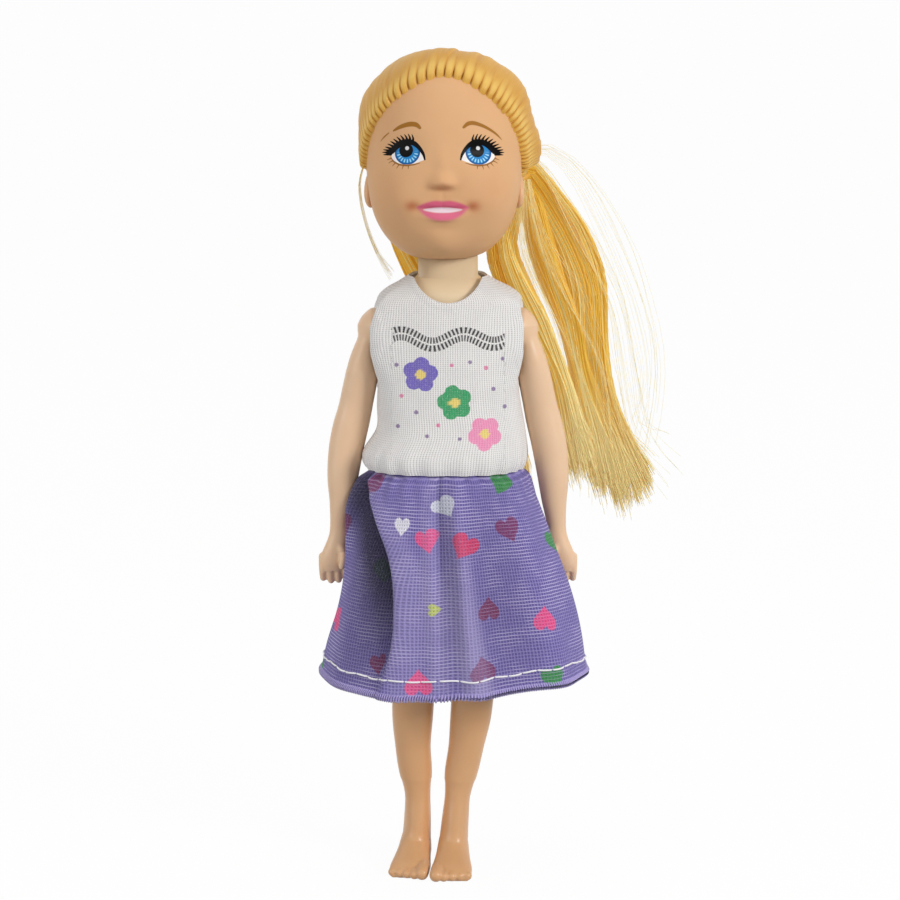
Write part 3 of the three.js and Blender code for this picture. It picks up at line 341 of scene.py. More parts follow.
def spread(tree, value, low, high, bottom=0.0, top=1.0, kind="SMOOTHSTEP"):
    # the stretch from low to high stretched to bottom and top, and held beyond them
    return addNode(tree, "MapRange", {"Value": value, "From Min": low, "From Max": high,
                                      "To Min": bottom, "To Max": top}, interpolation_type=kind)


def layered(tree, colour, *layers):
    # a colour with others laid over it in turn, each as (its share, its colour)
    for share, over in layers:
        colour = addNode(tree, "Mix", {0: share, 6: colour, 7: over}, output=2, data_type="RGBA")
    return colour


def readPoint(tree, name, output=2):
    # a value painted on the points, or with output 0 a colour
    return addNode(tree, "Attribute", output=output, attribute_name=name)


def inside(tree, name, soft=0.03):
    # 1 where a painted distance is below zero, with an edge 2 soft wide
    return spread(tree, readPoint(tree, name), soft, -soft)


def startMaterial(name, **values):
    # a new material with plain values on its shader
    made = bpy.data.materials.new(name)
    made.use_nodes = True
    shader = made.node_tree.nodes["Principled BSDF"]
    feed(made.node_tree, shader, {key.replace("_", " "): value for key, value in values.items()})
    return made, made.node_tree, shader


def startGroup(name, inputs, outputs):
    # a node group with named value, vector and colour sockets
    kinds = {"value": "NodeSocketFloat", "vector": "NodeSocketVector", "colour": "NodeSocketColor"}
    group = bpy.data.node_groups.new(name, "ShaderNodeTree")
    for key, (kind, start) in inputs.items():
        made = group.interface.new_socket(name=key, in_out="INPUT", socket_type=kinds[kind])
        if start is not None:
            made.default_value = start
    for key, kind in outputs.items():
        group.interface.new_socket(name=key, in_out="OUTPUT", socket_type=kinds[kind])
    return group, group.nodes.new("NodeGroupInput").outputs, group.nodes.new("NodeGroupOutput")


def useGroup(tree, group, inputs):
    # the group in a material, read at the object's own place in metres
    made = tree.nodes.new("ShaderNodeGroup")
    made.node_tree = group
    feed(tree, made, {"Place": addNode(tree, "TexCoord", output=3), **inputs})
    return made.outputs


def bumped(tree, shader, height, distance, strength):
    # small relief from a height, its distance in millimetres
    normal = addNode(tree, "Bump", {"Strength": strength, "Distance": distance * mm, "Height": height})
    tree.links.new(normal, shader.inputs["Normal"])


def mouldedGroup():
    # soft mottling of the tone and a fine orange-peel height, both from noise
    group, given, out = startGroup("mouldedSurface", {
        "Place": ("vector", None), "Tone": ("colour", rgb("#D9B28C")), "Shade": ("colour", rgb("#C99A72")),
        "Mottle": ("value", 0.3), "Shine": ("value", 0.4)},
        {"Colour": "colour", "Roughness": "value", "Height": "value"})
    broad = noise(group, given["Place"], 90.0, 3.0)
    fine = noise(group, given["Place"], 2600.0, 2.0)
    share = times(group, spread(group, broad, 0.35, 0.7), given["Mottle"])
    feed(group, out, {
        "Colour": layered(group, given["Tone"], (share, given["Shade"])),
        "Roughness": sums(group, "MULTIPLY_ADD", sums(group, "SUBTRACT", broad, 0.5), 0.16, given["Shine"]),
        "Height": sums(group, "MULTIPLY_ADD", broad, 4.0, fine)})
    return group


def fuzzGroup():
    # loose fibres on cloth: a pale speckle and a height from two sizes of noise
    group, given, out = startGroup("clothFuzz", {
        "Place": ("vector", None), "Colour": ("colour", rgb("#FFFFFF")), "Fibre": ("colour", rgb("#FFFFFF")),
        "Amount": ("value", 0.3)}, {"Colour": "colour", "Height": "value"})
    fine = noise(group, given["Place"], 5200.0, 3.0)
    broad = noise(group, given["Place"], 700.0, 2.0)
    share = times(group, spread(group, fine, 0.52, 0.72), given["Amount"])
    feed(group, out, {"Colour": layered(group, given["Colour"], (share, given["Fibre"])),
                      "Height": sums(group, "MULTIPLY_ADD", broad, 0.8, fine)})
    return group


moulded = mouldedGroup()
fuzz = fuzzGroup()


def plasticMaterial(name, tone, shade, shine, mottle=0.25, **values):
    # moulded plastic or rubber: mottled tone, shine as roughness, and a fine skin
    material, tree, shader = startMaterial(name, **values)
    made = useGroup(tree, moulded, {"Tone": tone, "Shade": shade, "Mottle": mottle, "Shine": shine})
    feed(tree, shader, {"Base Color": made["Colour"], "Roughness": made["Roughness"]})
    bumped(tree, shader, made["Height"], 0.012, 0.35)
    return material


def threadMaterial(name, tone, fibre):
    # spun thread or tape with pale fibres on it
    material, tree, shader = startMaterial(name, Roughness=0.8, Sheen_Weight=0.3)
    made = useGroup(tree, fuzz, {"Colour": tone, "Fibre": fibre, "Amount": 0.5})
    feed(tree, shader, {"Base Color": made["Colour"]})
    bumped(tree, shader, made["Height"], 0.05, 0.6)
    return material


limbFinish = {"shine": 0.34, "Specular_IOR_Level": 0.4, "Subsurface_Weight": 0.1,
              "Subsurface_Scale": 1.0 * mm}
# the same plastic in two tones: the arms are painted lighter and the legs darker, as painted light and shade
armPlastic = plasticMaterial("armPlastic", "#E9C5A2", "#DEB68F", **limbFinish)
legPlastic = plasticMaterial("legPlastic", "#DCAA7A", "#D09A68", **limbFinish)
shellPlastic = plasticMaterial("shellPlastic", "#EBD3AE", "#E0C399", 0.32, Coat_Weight=0.2)
whiteThread = threadMaterial("whiteThread", "#F1EFF2", "#FFFFFF")
lilacThread = threadMaterial("lilacThread", "#A79AD2", "#C9BEE6")
tapeMaterial = threadMaterial("closureTape", "#EFEDE8", "#FFFFFF")
print("plain materials ready")


# Head

head = {
    "halfWidth": 12.8, "face": 12.9, "nape": 13.1, "crown": 15.6, "chin": 17.2,
    "fullness": 2.5, "jowl": 0.5, "middle": (-0.6, -0.2, neckZ + 16), "tilt": -10, "turn": -1,
    "around": 336, "levels": 288,
    "socket": 5.25, "socketRise": 0.5,
}

# soft rises and dips of the face: place x and z, spread across and up, height
faceRelief = [
    (0, -5.35, 1.45, 1.15, 1.3), (1.3, -5.85, 0.85, 0.7, 0.4), (0, -2.9, 1.3, 2.4, 0.35),
    (0, -7.1, 1.7, 0.6, -0.25), (5.6, -0.8, 3.0, 2.1, -0.4), (6.8, -8.2, 3.2, 2.8, 0.55),
    (1.1, -9.1, 1.5, 0.5, 0.36), (0, -11.1, 2.2, 0.6, 0.6), (0, -9.95, 2.9, 0.4, -0.14),
    (0, -12.8, 2.0, 0.6, -0.22), (0, -15, 2.8, 2.2, 1.0), (0, -7.9, 0.4, 0.6, -0.1),
    (4.2, -9.7, 0.6, 0.7, -0.2),
]
headTurn = turnMatrix("z", head["turn"]) @ turnMatrix("x", head["tilt"])


def bells(x, z, rows):
    # sum of bells, each from a place x and z, a spread across and up, and a height
    return sum(height * np.exp(-((x - middle) / across) ** 2 - ((z - level) / up) ** 2)
               for middle, level, across, up, height in rows)


def headRadius(way):
    # a squared oval: its side outline has one power all round, its front outline grows squarer to the chin;
    # soft bumps of the face are added on the front
    dx, dy, dz = np.moveaxis(way, -1, 0)
    side = (np.abs(dy / np.where(dy < 0, head["face"], head["nape"])) ** head["fullness"]
            + np.abs(dz / np.where(dz > 0, head["crown"], head["chin"])) ** head["fullness"])
    power = 2 + head["jowl"] * ramp(-dz, 0, 0.7)
    r = 1 / (np.abs(dx / head["halfWidth"]) ** power + side ** (power / head["fullness"])) ** (1 / power)
    return r + ramp(-dy, 0.1, 0.5) * bells(np.abs(dx * r), dz * r, faceRelief)


def toDoll(p):
    # from the head's own axes, which its turn and tilt carry, to the doll's
    return p @ headTurn.T + np.array(head["middle"])


def onHead(way, lift=0.0):
    # the head's skin in each direction, and lift above it
    return toDoll(way * (headRadius(way) + lift)[..., None])


def lineGap(p, line, half):
    # distance from each point to a line through the given points, less the half width there
    line, half = np.asarray(line, float), np.asarray(half, float)
    nearest = np.full(len(p), farOff)
    for a, b, ra, rb in zip(line[:-1], line[1:], half[:-1], half[1:]):
        t = np.clip((p - a) @ (b - a) / max((b - a) @ (b - a), 1e-9), 0, 1)
        gap = np.linalg.norm(p - a - t[:, None] * (b - a), axis=1) - (ra + t * (rb - ra))
        nearest = np.minimum(nearest, gap)
    return nearest


def penGap(p, curve, halves):
    # distance to a pen line along a curve, whose half width runs evenly through the given ones
    share = np.linspace(0, 1, len(curve))
    return lineGap(p, curve, np.interp(share, np.linspace(0, 1, len(halves)), halves))


def areaGap(p, outline):
    # distance from each point to a closed outline, below zero within it
    outline = np.asarray(outline, float)
    nearest = lineGap(p, np.concatenate([outline, outline[:1]]), np.zeros(len(outline) + 1))
    crossings = np.zeros(len(p), int)
    for a, b in zip(outline, np.roll(outline, -1, axis=0)):
        if a[1] != b[1]:
            spans = (a[1] > p[:, 1]) != (b[1] > p[:, 1])
            crossings += spans & (p[:, 0] < a[0] + (p[:, 1] - a[1]) * (b[0] - a[0]) / (b[1] - a[1]))
    return np.where(crossings % 2 == 1, -nearest, nearest)


face = {
    "eyeOutline": [(2.95, -2.0), (3.5, -0.75), (4.4, 0.25), (5.6, 0.62), (6.8, 0.35), (7.75, -0.4),
                   (8.25, -1.3), (7.85, -2.0), (6.95, -2.55), (5.8, -2.78), (4.6, -2.68), (3.65, -2.4)],
    "iris": (5.65, -0.78), "irisRadius": 2.05, "pupilShift": (-0.22, 0.3), "pupilRadius": 1.12,
    "glintShift": (0.16, 0.34), "glintRadius": 0.31,
    "lid": [(2.85, -2.1), (3.1, -1.2), (3.75, -0.2), (4.6, 0.55), (5.6, 0.85), (6.7, 0.68), (7.6, 0.1),
            (8.3, -0.65), (8.9, -0.95)],
    "lidHalf": [0.13, 0.24, 0.3, 0.38, 0.42, 0.46, 0.5, 0.46, 0.16],
    "lowerLid": [(3.6, -2.62), (4.6, -2.86), (5.8, -2.96), (7.0, -2.72), (7.9, -2.15), (8.35, -1.45)],
    "lowerLidHalf": [0.05, 0.1, 0.12, 0.13, 0.12, 0.06],
    "lowerTicks": [((5.5, -2.98), (5.5, -3.5)), ((6.3, -2.9), (6.5, -3.5)), ((7.0, -2.7), (7.4, -3.3)),
                   ((7.6, -2.4), (8.1, -2.9)), ((8.0, -2.0), (8.75, -2.35)), ((8.3, -1.6), (9.0, -1.8))],
    "browLeft": [(3.3, 3.05), (4.0, 3.65), (4.9, 3.8), (6.3, 3.45), (7.6, 2.85), (8.6, 2.2), (9.4, 1.45)],
    "browLeftHalf": [0.2, 0.33, 0.33, 0.27, 0.21, 0.16, 0.04],
    "browRight": [(-3.65, 2.95), (-4.3, 3.5), (-5.4, 3.62), (-6.8, 3.3), (-7.9, 2.78)],
    "browRightHalf": [0.22, 0.38, 0.4, 0.33, 0.14],
    "browTail": [(-8.7, 2.5), (-9.4, 2.0), (-10.1, 1.3)], "browTailHalf": [0.08, 0.12, 0.04],
    "upperLip": [(-4.1, -9.6), (-2.8, -8.95), (-1.3, -8.6), (0, -8.66), (1.3, -8.6), (2.8, -8.95),
                 (4.1, -9.6), (2.9, -9.95), (1.4, -9.85), (0, -9.8), (-1.4, -9.85), (-2.9, -9.95)],
    "lowerLip": [(-4.0, -9.65), (-2.9, -10.05), (-1.5, -10.3), (0, -10.4), (1.5, -10.3), (2.9, -10.05),
                 (4.0, -9.65), (3.1, -10.7), (1.7, -11.5), (0, -11.75), (-1.7, -11.5), (-3.1, -10.7)],
    "teeth": [(-3.1, -9.95), (-1.5, -9.7), (0, -9.64), (1.5, -9.7), (3.1, -9.95), (1.6, -10.36),
              (0, -10.46), (-1.6, -10.36)],
    "lashHalf": (0.27, 0.05), "tickHalf": (0.1, 0.04),
    # blush on the cheeks, with painted shade at the mouth corners and under the nose, as bells: place x and
    # z, spread across and up, strength
    "blushAndShade": [(4.9, -9.4, 1.1, 0.8, 0.85), (8.0, -6.5, 3.0, 2.6, 0.12), (0, -6.6, 1.6, 0.5, 0.4)],
    # each printed form with the softness of its edge and its colour, in the order of printing
    "print": [("upperLip", 0.28, "#D0607C"), ("lowerLip", 0.34, "#E2738F"), ("teeth", 0.12, "#F2DCE2"),
              ("lowerLine", 0.05, "#93612B"), ("brow", 0.07, "#A06C2A")],
    "eyeWhite": "#F1ECEA", "irisTone": "#2E86C8", "irisRim": "#17508F", "rays": "#A6DCF4",
    "pupil": "#020203", "glint": "#E6E6E8", "lashes": "#030304", "blushAndShadeTone": "#BC6F4A",
}
vinyl = {"tone": "#DEAF82", "shade": "#D39E72", "shine": 0.46}
# each lash: root on the lid, middle and tip, in the half of the face where x is above zero
lashes = [
    ((4.85, 0.75), (4.72, 1.3), (4.95, 2.0)), ((5.25, 0.9), (5.25, 1.45), (5.55, 2.1)),
    ((5.7, 0.95), (5.8, 1.5), (6.15, 2.05)), ((6.15, 0.9), (6.4, 1.45), (6.8, 1.95)),
    ((6.6, 0.8), (6.95, 1.3), (7.4, 1.75)), ((7.0, 0.6), (7.45, 1.05), (7.95, 1.45)),
    ((7.4, 0.4), (7.9, 0.78), (8.45, 1.12)), ((7.7, 0.1), (8.3, 0.45), (8.9, 0.75)),
    ((8.0, -0.2), (8.65, 0.08), (9.3, 0.32)), ((8.2, -0.45), (8.95, -0.25), (9.6, -0.08)),
    ((8.35, -0.7), (9.1, -0.58), (9.75, -0.5)), ((8.4, -0.9), (9.0, -0.92), (9.6, -0.9)),
]


def paintFace(piece, spot):
    # spot is each point in the head's own axes; every feature is painted as a distance to its edge
    near = (spot[:, 1] < 0) & (np.abs(spot[:, 0]) < 12.5) & (spot[:, 2] < 6) & (spot[:, 2] > -15)
    p = spot[near][:, [0, 2]]
    q = np.stack([np.abs(p[:, 0]), p[:, 1]], -1)

    def filled(where, key):
        return areaGap(where, through(face[key], np.linspace(0, 1, 60, endpoint=False), closed=True))

    lashLines = [through(lash, np.linspace(0, 1, 6)) for lash in lashes]
    strokes = {
        "lash": [(q, evenly(face["lid"], 30), face["lidHalf"]),
                 *((q, line, face["lashHalf"]) for line in lashLines)],
        "lowerLine": [(q, face["lowerLid"], face["lowerLidHalf"]),
                      *((q, tick, face["tickHalf"]) for tick in face["lowerTicks"])],
        "brow": [(p, through(face[key], np.linspace(0, 1, 24)), face[key + "Half"])
                 for key in ("browLeft", "browRight", "browTail")],
    }
    gaps = {key: np.min([penGap(*line) for line in lines], axis=0) for key, lines in strokes.items()}
    gaps["sclera"] = filled(q, "eyeOutline")
    gaps.update({key: filled(p, key) for key in ("upperLip", "lowerLip", "teeth")})
    fromIris = p - np.stack([np.sign(p[:, 0]) * face["iris"][0], np.full(len(p), face["iris"][1])], -1)
    fromPupil = fromIris - face["pupilShift"]
    gaps["iris"] = np.linalg.norm(fromIris, axis=1)
    gaps["irisTurn"] = np.arctan2(fromIris[:, 0], -fromIris[:, 1])
    gaps["pupil"] = np.linalg.norm(fromPupil, axis=1) - face["pupilRadius"]
    gaps["glint"] = np.linalg.norm(fromPupil - face["glintShift"], axis=1) - face["glintRadius"]
    for key, gap in gaps.items():
        values = np.full(len(spot), farOff)
        values[near] = gap
        paint(piece, key, values)
    # blush on the cheeks, and painted shade in the dimples at the mouth corners and under the nose
    blushAndShade = bells(np.abs(spot[:, 0]), spot[:, 2], face["blushAndShade"])
    paint(piece, "blushAndShade", ramp(-spot[:, 1], 2, 6) * np.clip(blushAndShade, 0, 1))


def headMaterial():
    # the vinyl with its blush, its painted shade at the mouth corners and under the nose, and its printed
    # forms; the iris darkens to its rim and has a ring of short pale rays in its lower half; the eye is laid
    # within its outline, and the lashes over all
    material, tree, shader = startMaterial(
        "headVinyl", Specular_IOR_Level=0.05, Subsurface_Weight=0.12, Subsurface_Scale=1.2 * mm,
        Subsurface_Radius=(1.0, 0.45, 0.25))
    made = useGroup(tree, moulded, {"Tone": vinyl["tone"], "Shade": vinyl["shade"], "Mottle": 0.25,
                                    "Shine": vinyl["shine"]})
    fromMiddle, turn, rim = readPoint(tree, "iris"), readPoint(tree, "irisTurn"), face["irisRadius"]
    rays = spread(tree, sums(tree, "COSINE", times(tree, turn, 19.0)), 0.0, 0.75)
    ring = times(tree, spread(tree, fromMiddle, 1.08, 1.2), spread(tree, fromMiddle, 1.8, 1.62))
    low = spread(tree, sums(tree, "ABSOLUTE", turn), 1.75, 1.35)
    iris = layered(tree, face["irisTone"], (spread(tree, fromMiddle, rim * 0.72, rim), face["irisRim"]),
                   (times(tree, rays, ring, low), face["rays"]))
    eye = layered(tree, face["eyeWhite"], (spread(tree, fromMiddle, rim + 0.03, rim - 0.03), iris),
                  (inside(tree, "pupil", 0.04), face["pupil"]), (inside(tree, "glint", 0.07), face["glint"]))
    white, black = inside(tree, "sclera"), inside(tree, "lash")
    colour = layered(tree, made["Colour"], (readPoint(tree, "blushAndShade"), face["blushAndShadeTone"]),
                     *((inside(tree, key, soft), tone) for key, soft, tone in face["print"]),
                     (white, eye), (black, face["lashes"]))
    printed = sums(tree, "MAXIMUM", white, black)
    feed(tree, shader, {"Base Color": colour,
                        "Roughness": sums(tree, "MULTIPLY_ADD", printed, -0.14, made["Roughness"])})
    bumped(tree, shader, made["Height"], 0.012, 0.35)
    return material


def crowded(low, high, middle, half, count):
    # count places from low to high that lie five times closer within half of the middle
    fine = np.linspace(low, high, 4000)
    weight = 1 + 4 * np.exp(-((fine - middle) / half) ** 6)
    share = np.cumsum(weight) - weight[0]
    return np.interp(np.linspace(0, 1, count), share / share[-1], fine)


def makeHead():
    # directions over a globe, closer together on the face, each as far out as headRadius says;
    # round the neck the skin turns up into the hole
    lon = crowded(-np.pi, np.pi, 0.0, 0.86, head["around"] + 1)[:-1] - np.pi / 2
    lat = crowded(-np.pi / 2, np.pi / 2, -0.33, 0.64, head["levels"] + 1)[1:-1]
    way = np.stack(np.broadcast_arrays(
        np.cos(lat)[:, None] * np.cos(lon), np.cos(lat)[:, None] * np.sin(lon), np.sin(lat)[:, None]), -1)
    own = (way * headRadius(way)[..., None]).reshape(-1, 3)
    ends = np.array([[0, 0, -1.0], [0, 0, 1.0]])
    own = np.concatenate([own, ends * headRadius(ends)[:, None]])
    points = toDoll(own)
    fromNeck = np.hypot(points[:, 0], points[:, 1] - neckY)
    rim = neckZ + head["socketRise"]
    tucked = ramp(fromNeck, head["socket"] + 0.45, head["socket"]) * (points[:, 2] < rim)
    points[:, 2] += tucked * (rim - points[:, 2])
    rows, n = head["levels"] - 1, head["around"]
    i = np.arange(n)
    low = np.stack([np.full(n, rows * n), (i + 1) % n, i], -1)
    high = np.stack([np.full(n, rows * n + 1), (rows - 1) * n + i, (rows - 1) * n + (i + 1) % n], -1)
    piece = newPiece("head_skin", points, [gridFaces(rows, n, wrap=True), np.concatenate([low, high])])
    paintFace(piece, own)
    return piece


ear = {"sink": 0.85, "y": 1.2, "z": -5.4, "thick": 1.1, "deep": 1.9, "tall": 3.2}


def makeEar(side):
    # an oval lobe with a hollow bowl pressed into its outer side and a rolled edge round it
    lat = np.linspace(-1.5, 1.5, 40)[:, None]
    cos, sin = circle(64)
    x, y, z = np.cos(lat) * cos, np.cos(lat) * sin, np.broadcast_to(np.sin(lat), (40, 64))
    bowl = np.exp(-((y + 0.1) / 0.42) ** 2 - ((z - 0.1) / 0.5) ** 2) * ramp(x, 0.1, 0.6)
    p = np.stack([side * ear["thick"] * (x - 0.62 * bowl), ear["deep"] * y * (1 - 0.18 * z * (z < 0)),
                  ear["tall"] * z], -1)
    p = p @ (turnMatrix("z", side * 20) @ turnMatrix("x", -12)).T
    p += [side * (head["halfWidth"] - ear["sink"]), ear["y"], ear["z"]]
    return newPiece("ear_left" if side > 0 else "ear_right", *closedRings(toDoll(p)))


headVinyl = headMaterial()
earVinyl = plasticMaterial("earVinyl", **vinyl, Subsurface_Weight=0.12, Subsurface_Scale=1.2 * mm)
finished(makeHead(), headVinyl, "head_vinyl", "head", "head_shell")
for side in (1, -1):
    finished(makeEar(side), earVinyl, "head_vinyl", "head")
print("head made")


# Hair

hair = {
    "depth": 2.0, "gather": 3.0, "edge": 1.1, "skull": 15.4,
    "bandRadius": 0.4, "bandOuter": 2.6, "bandDown": 1.6,
    "tie": (0.6, 0.79, -0.06), "crown": (0.1, 0.62, 0.78), "fall": (0.42, 0.05, -0.9),
    "plugs": 92, "plugRelief": 0.2, "acrossPlug": 9, "steps": 100,
    "strandRelief": 0.1,
    # pale is a painted highlight on the plugs' ridges, and deep a painted shade in the grooves
    "pale": "#E6BC5E", "gold": "#D49C3A", "streak": "#DFB050", "deep": "#C07C1E",
    "tail": {"pale": "#F8E196", "gold": "#F0BE44", "deep": "#DC9A1A", "tips": "#EEDCA0"},
    # swellings of the combed hair, the last one at the tie: direction in the head's axes, height, width
    "lumps": [((-0.78, 0.05, 0.62), 1.1, 0.32), ((0.70, 0.05, 0.70), 1.6, 0.32),
              ((-0.42, 0.1, 0.9), 0.6, 0.22), ((0.94, 0.3, 0.1), 1.7, 0.34), ((0.1, 0.0, 1.0), -0.8, 0.25),
              ((0.35, -0.1, 0.92), 0.4, 0.16), ((0.6, 0.79, -0.06), 3.1, 0.3)],
    # steps of the streaks' UV round the hairline and on to the tie
    "streaksRound": 80, "streaksBack": 30,
}
hairline = [
    (0, -10.0, 10.4), (7.2, -9.1, 7.6), (11, -6.5, 3.8), (12.7, -3.8, -0.3), (12.9, -1.6, -2.6),
    (12.5, 2.8, -2.0), (10.8, 7, -6.2), (6.5, 10, -9), (0, 11, -10), (-6.5, 10, -9), (-10.8, 7, -6.2),
    (-12.5, 2.8, -2.0), (-12.9, -1.6, -2.6), (-12.7, -3.8, -0.3), (-11, -6.5, 3.8), (-7.2, -9.1, 7.6),
]
tieWay, crownWay, fallWay = (unit(np.array(hair[k])) for k in ("tie", "crown", "fall"))
tiePlace = onHead(tieWay[None], np.array([hair["gather"] + hair["bandOuter"]]))[0]


def arcBetween(a, b, t):
    # directions along the great circle from a to b
    angle = np.arccos(np.clip((a * b).sum(-1, keepdims=True), -1, 1))
    angle = np.maximum(angle, 1e-6)
    return unit((np.sin((1 - t) * angle) * a + np.sin(t * angle) * b) / np.sin(angle))


def combed(s, t):
    # direction of the hair at t along the lock that starts at s of the hairline:
    # from its root over the crown to the tie, as a curve of three directions
    root = unit(through(hairline, s, closed=True))
    angle = np.arccos(np.clip(root @ tieWay, -1, 1))
    away = (angle / np.pi)[..., None]
    over = unit((root + tieWay) * (1 - away) ** 2 + crownWay * away * 1.3)
    tie = np.broadcast_to(tieWay, root.shape)
    t = t[..., None]
    return arcBetween(arcBetween(root, over, t), arcBetween(over, tie, t), t)


def makeHairCap():
    # each plug is a round ridge with a scalloped end at the hairline that runs back into combed strands;
    # the strands gather at the tie
    plugs = hair["plugs"]
    cols = plugs * hair["acrossPlug"]
    s = np.arange(cols) / cols
    t = np.concatenate([np.linspace(0, 0.12, 26), np.linspace(0.12, 0.985, hair["steps"] - 25)[1:]])
    share, root = np.meshgrid(t, s, indexing="ij")
    way = combed(root, share)
    run = share * hair["skull"] * np.arccos(np.clip((way[0] * tieWay).sum(-1), -1, 1))
    place = (root + 0.004 * np.sin(2 * np.pi * root * 3 + 1.1) * ramp(run, 1, 8)) * plugs
    across, plug = place % 1 - 0.5, np.floor(place).astype(int)
    rng = np.random.default_rng(5)
    start = rng.uniform(0, 0.35, plugs + 2)[plug]
    reach = rng.uniform(2.2, 3.4, plugs + 2)[plug]
    ridge = np.sqrt(np.clip(1 - np.abs(2 * across) ** 3.2, 0, 1))
    begin = start + 0.75 * (1 - ridge)
    rounded = np.sqrt(np.clip(1 - (1 - np.clip((run - begin) / 0.95, 0, 1)) ** 2, 0, 1))
    fade = 1 - ramp(run, reach * 0.55, reach * 1.5)
    full = hair["edge"] + ramp(share, 0, 0.25) * (hair["depth"] - hair["edge"])
    full = full + ramp(share, 0.5, 1) * (hair["gather"] - hair["depth"])
    strands = ripple(root * 520, share * 3, 3, 9) * 0.5 + ripple(root * 210, share * 4, 4, 7) * 0.8
    relief = hair["plugRelief"] * (ridge - 0.8) * fade + hair["strandRelief"] * strands * ramp(run, 1.2, 4)
    for lump, high, width in hair["lumps"]:
        apart = np.arccos(np.clip(way @ unit(np.array(lump)), -1, 1))
        full = full + high * np.exp(-(apart / width) ** 2) * ramp(run, 0.3, 4)
    full = full + 0.22 * ripple(root * 44, share * 5, 9, 7) * ramp(run, 1.5, 5)
    grid = onHead(way, rounded * (full + relief + 0.15) - 0.25)
    top = onHead(tieWay[None], np.array([hair["gather"] + hair["lumps"][-1][1] - 0.2]))
    rows, i = len(t), np.arange(cols)
    end = (rows - 1) * cols
    fan = np.stack([np.full(cols, rows * cols), end + i, end + (i + 1) % cols], -1)
    back = hair["streaksBack"]
    u = np.append(s, 1.0) * hair["streaksRound"]
    wide = np.stack(np.broadcast_arrays(u[None, :], t[:, None] * back), -1).reshape(-1, 2)
    uv = [wide[gridFaces(rows, cols + 1)], np.stack([
        np.stack([u[:-1], np.full(cols, back)], -1), wide[end + rows - 1 + i], wide[end + rows + i]], 1)]
    piece = newPiece("hair_combed", np.concatenate([grid.reshape(-1, 3), top]),
                     [gridFaces(rows, cols, wrap=True), fan], uv)
    # painted shade in the grooves between the plugs and the strands and in a band behind the hairline, and a
    # painted highlight on the plugs' ridges
    grooveShade = (1 - ridge) ** 1.1 * fade * 1.1 + 0.3 * np.clip(-strands, 0, 1) * ramp(run, 1.5, 4)
    grooveShade += 0.25 * ramp(run, 1.5, 3.5) * (1 - ramp(run, 3.5, 9))
    paint(piece, "grooveShade", np.append(np.clip(grooveShade, 0, 1), 0.4))
    paint(piece, "ridgeHighlight", np.append(ridge ** 2 * fade * ramp(run, 0.2, 1.2), 0))
    return piece


def hairCapMaterial():
    # painted shade of deep orange in the grooves, a pale painted highlight on the ridges, with fine streaks
    # along the hair
    material, tree, shader = startMaterial("combedHair", Specular_IOR_Level=0.4)
    place = addNode(tree, "Mapping", {"Vector": addNode(tree, "UVMap", uv_map="UVMap"),
                                      "Scale": (14.0, 0.22, 1.0)})
    streaks = addNode(tree, "TexNoise", {"Vector": place, "Scale": 1.0, "Detail": 4.0, "Roughness": 0.65})
    feed(tree, shader, {
        "Base Color": layered(tree, hair["gold"], (spread(tree, streaks, 0.35, 0.65), hair["streak"]),
                              (readPoint(tree, "ridgeHighlight"), hair["pale"]),
                              (readPoint(tree, "grooveShade"), hair["deep"])),
        "Roughness": spread(tree, streaks, 0.3, 0.7, 0.36, 0.52, "LINEAR")})
    bumped(tree, shader, streaks, 0.12, 0.7)
    return material


def strandMaterial():
    # deep to gold to pale by each hair's tone, which carries painted shade and highlight, washed out at the
    # tips; the glow is painted light, standing in for the light that the clear fibres let through
    material, tree, shader = startMaterial("looseHair", Roughness=0.38, Subsurface_Weight=0.2,
                                           Subsurface_Scale=0.6 * mm, Emission_Strength=0.15)
    shades, tone = hair["tail"], readPoint(tree, "tone")
    colour = layered(tree, shades["deep"], (spread(tree, tone, 0.05, 0.5), shades["gold"]),
                     (spread(tree, tone, 0.62, 0.95), shades["pale"]),
                     (readPoint(tree, "tipward"), shades["tips"]))
    feed(tree, shader, {"Base Color": colour, "Emission Color": colour})
    return material


def strandPiece(name, centre, radius, tone, tipward):
    # three-sided hairs round their centre lines, each drawn to a point at both ends
    count, rings = centre.shape[:2]
    along = unit(np.gradient(centre, axis=1))
    side = unit(np.cross(along, np.array([0.02, 1.0, 0.05])))
    ring = ringsAlong(centre, along, side, radius, 3)
    ends = np.stack([centre[:, 0] - along[:, 0] * radius[:, :1], centre[:, -1] + along[:, -1] * 0.3], 1)
    points = np.concatenate([ring.reshape(count, -1, 3), ends], 1)
    base = (np.arange(count) * (3 * rings + 2))[:, None, None]
    quads = (gridFaces(rings, 3, wrap=True)[None] + base).reshape(-1, 4)
    i, j, last = np.arange(3), (np.arange(3) + 1) % 3, 3 * (rings - 1)
    caps = np.concatenate([np.stack([np.full(3, 3 * rings), j, i], -1),
                           np.stack([np.full(3, 3 * rings + 1), last + i, last + j], -1)])
    piece = newPiece(name, points.reshape(-1, 3), [quads, (caps[None] + base).reshape(-1, 3)])
    for key, values in (("tone", tone), ("tipward", tipward)):
        ringValues = np.broadcast_to(values, radius.shape)
        onPoints = [np.repeat(ringValues, 3, axis=1), ringValues[:, :1], ringValues[:, -1:]]
        paint(piece, key, np.concatenate(onPoints, 1).ravel())
    return piece


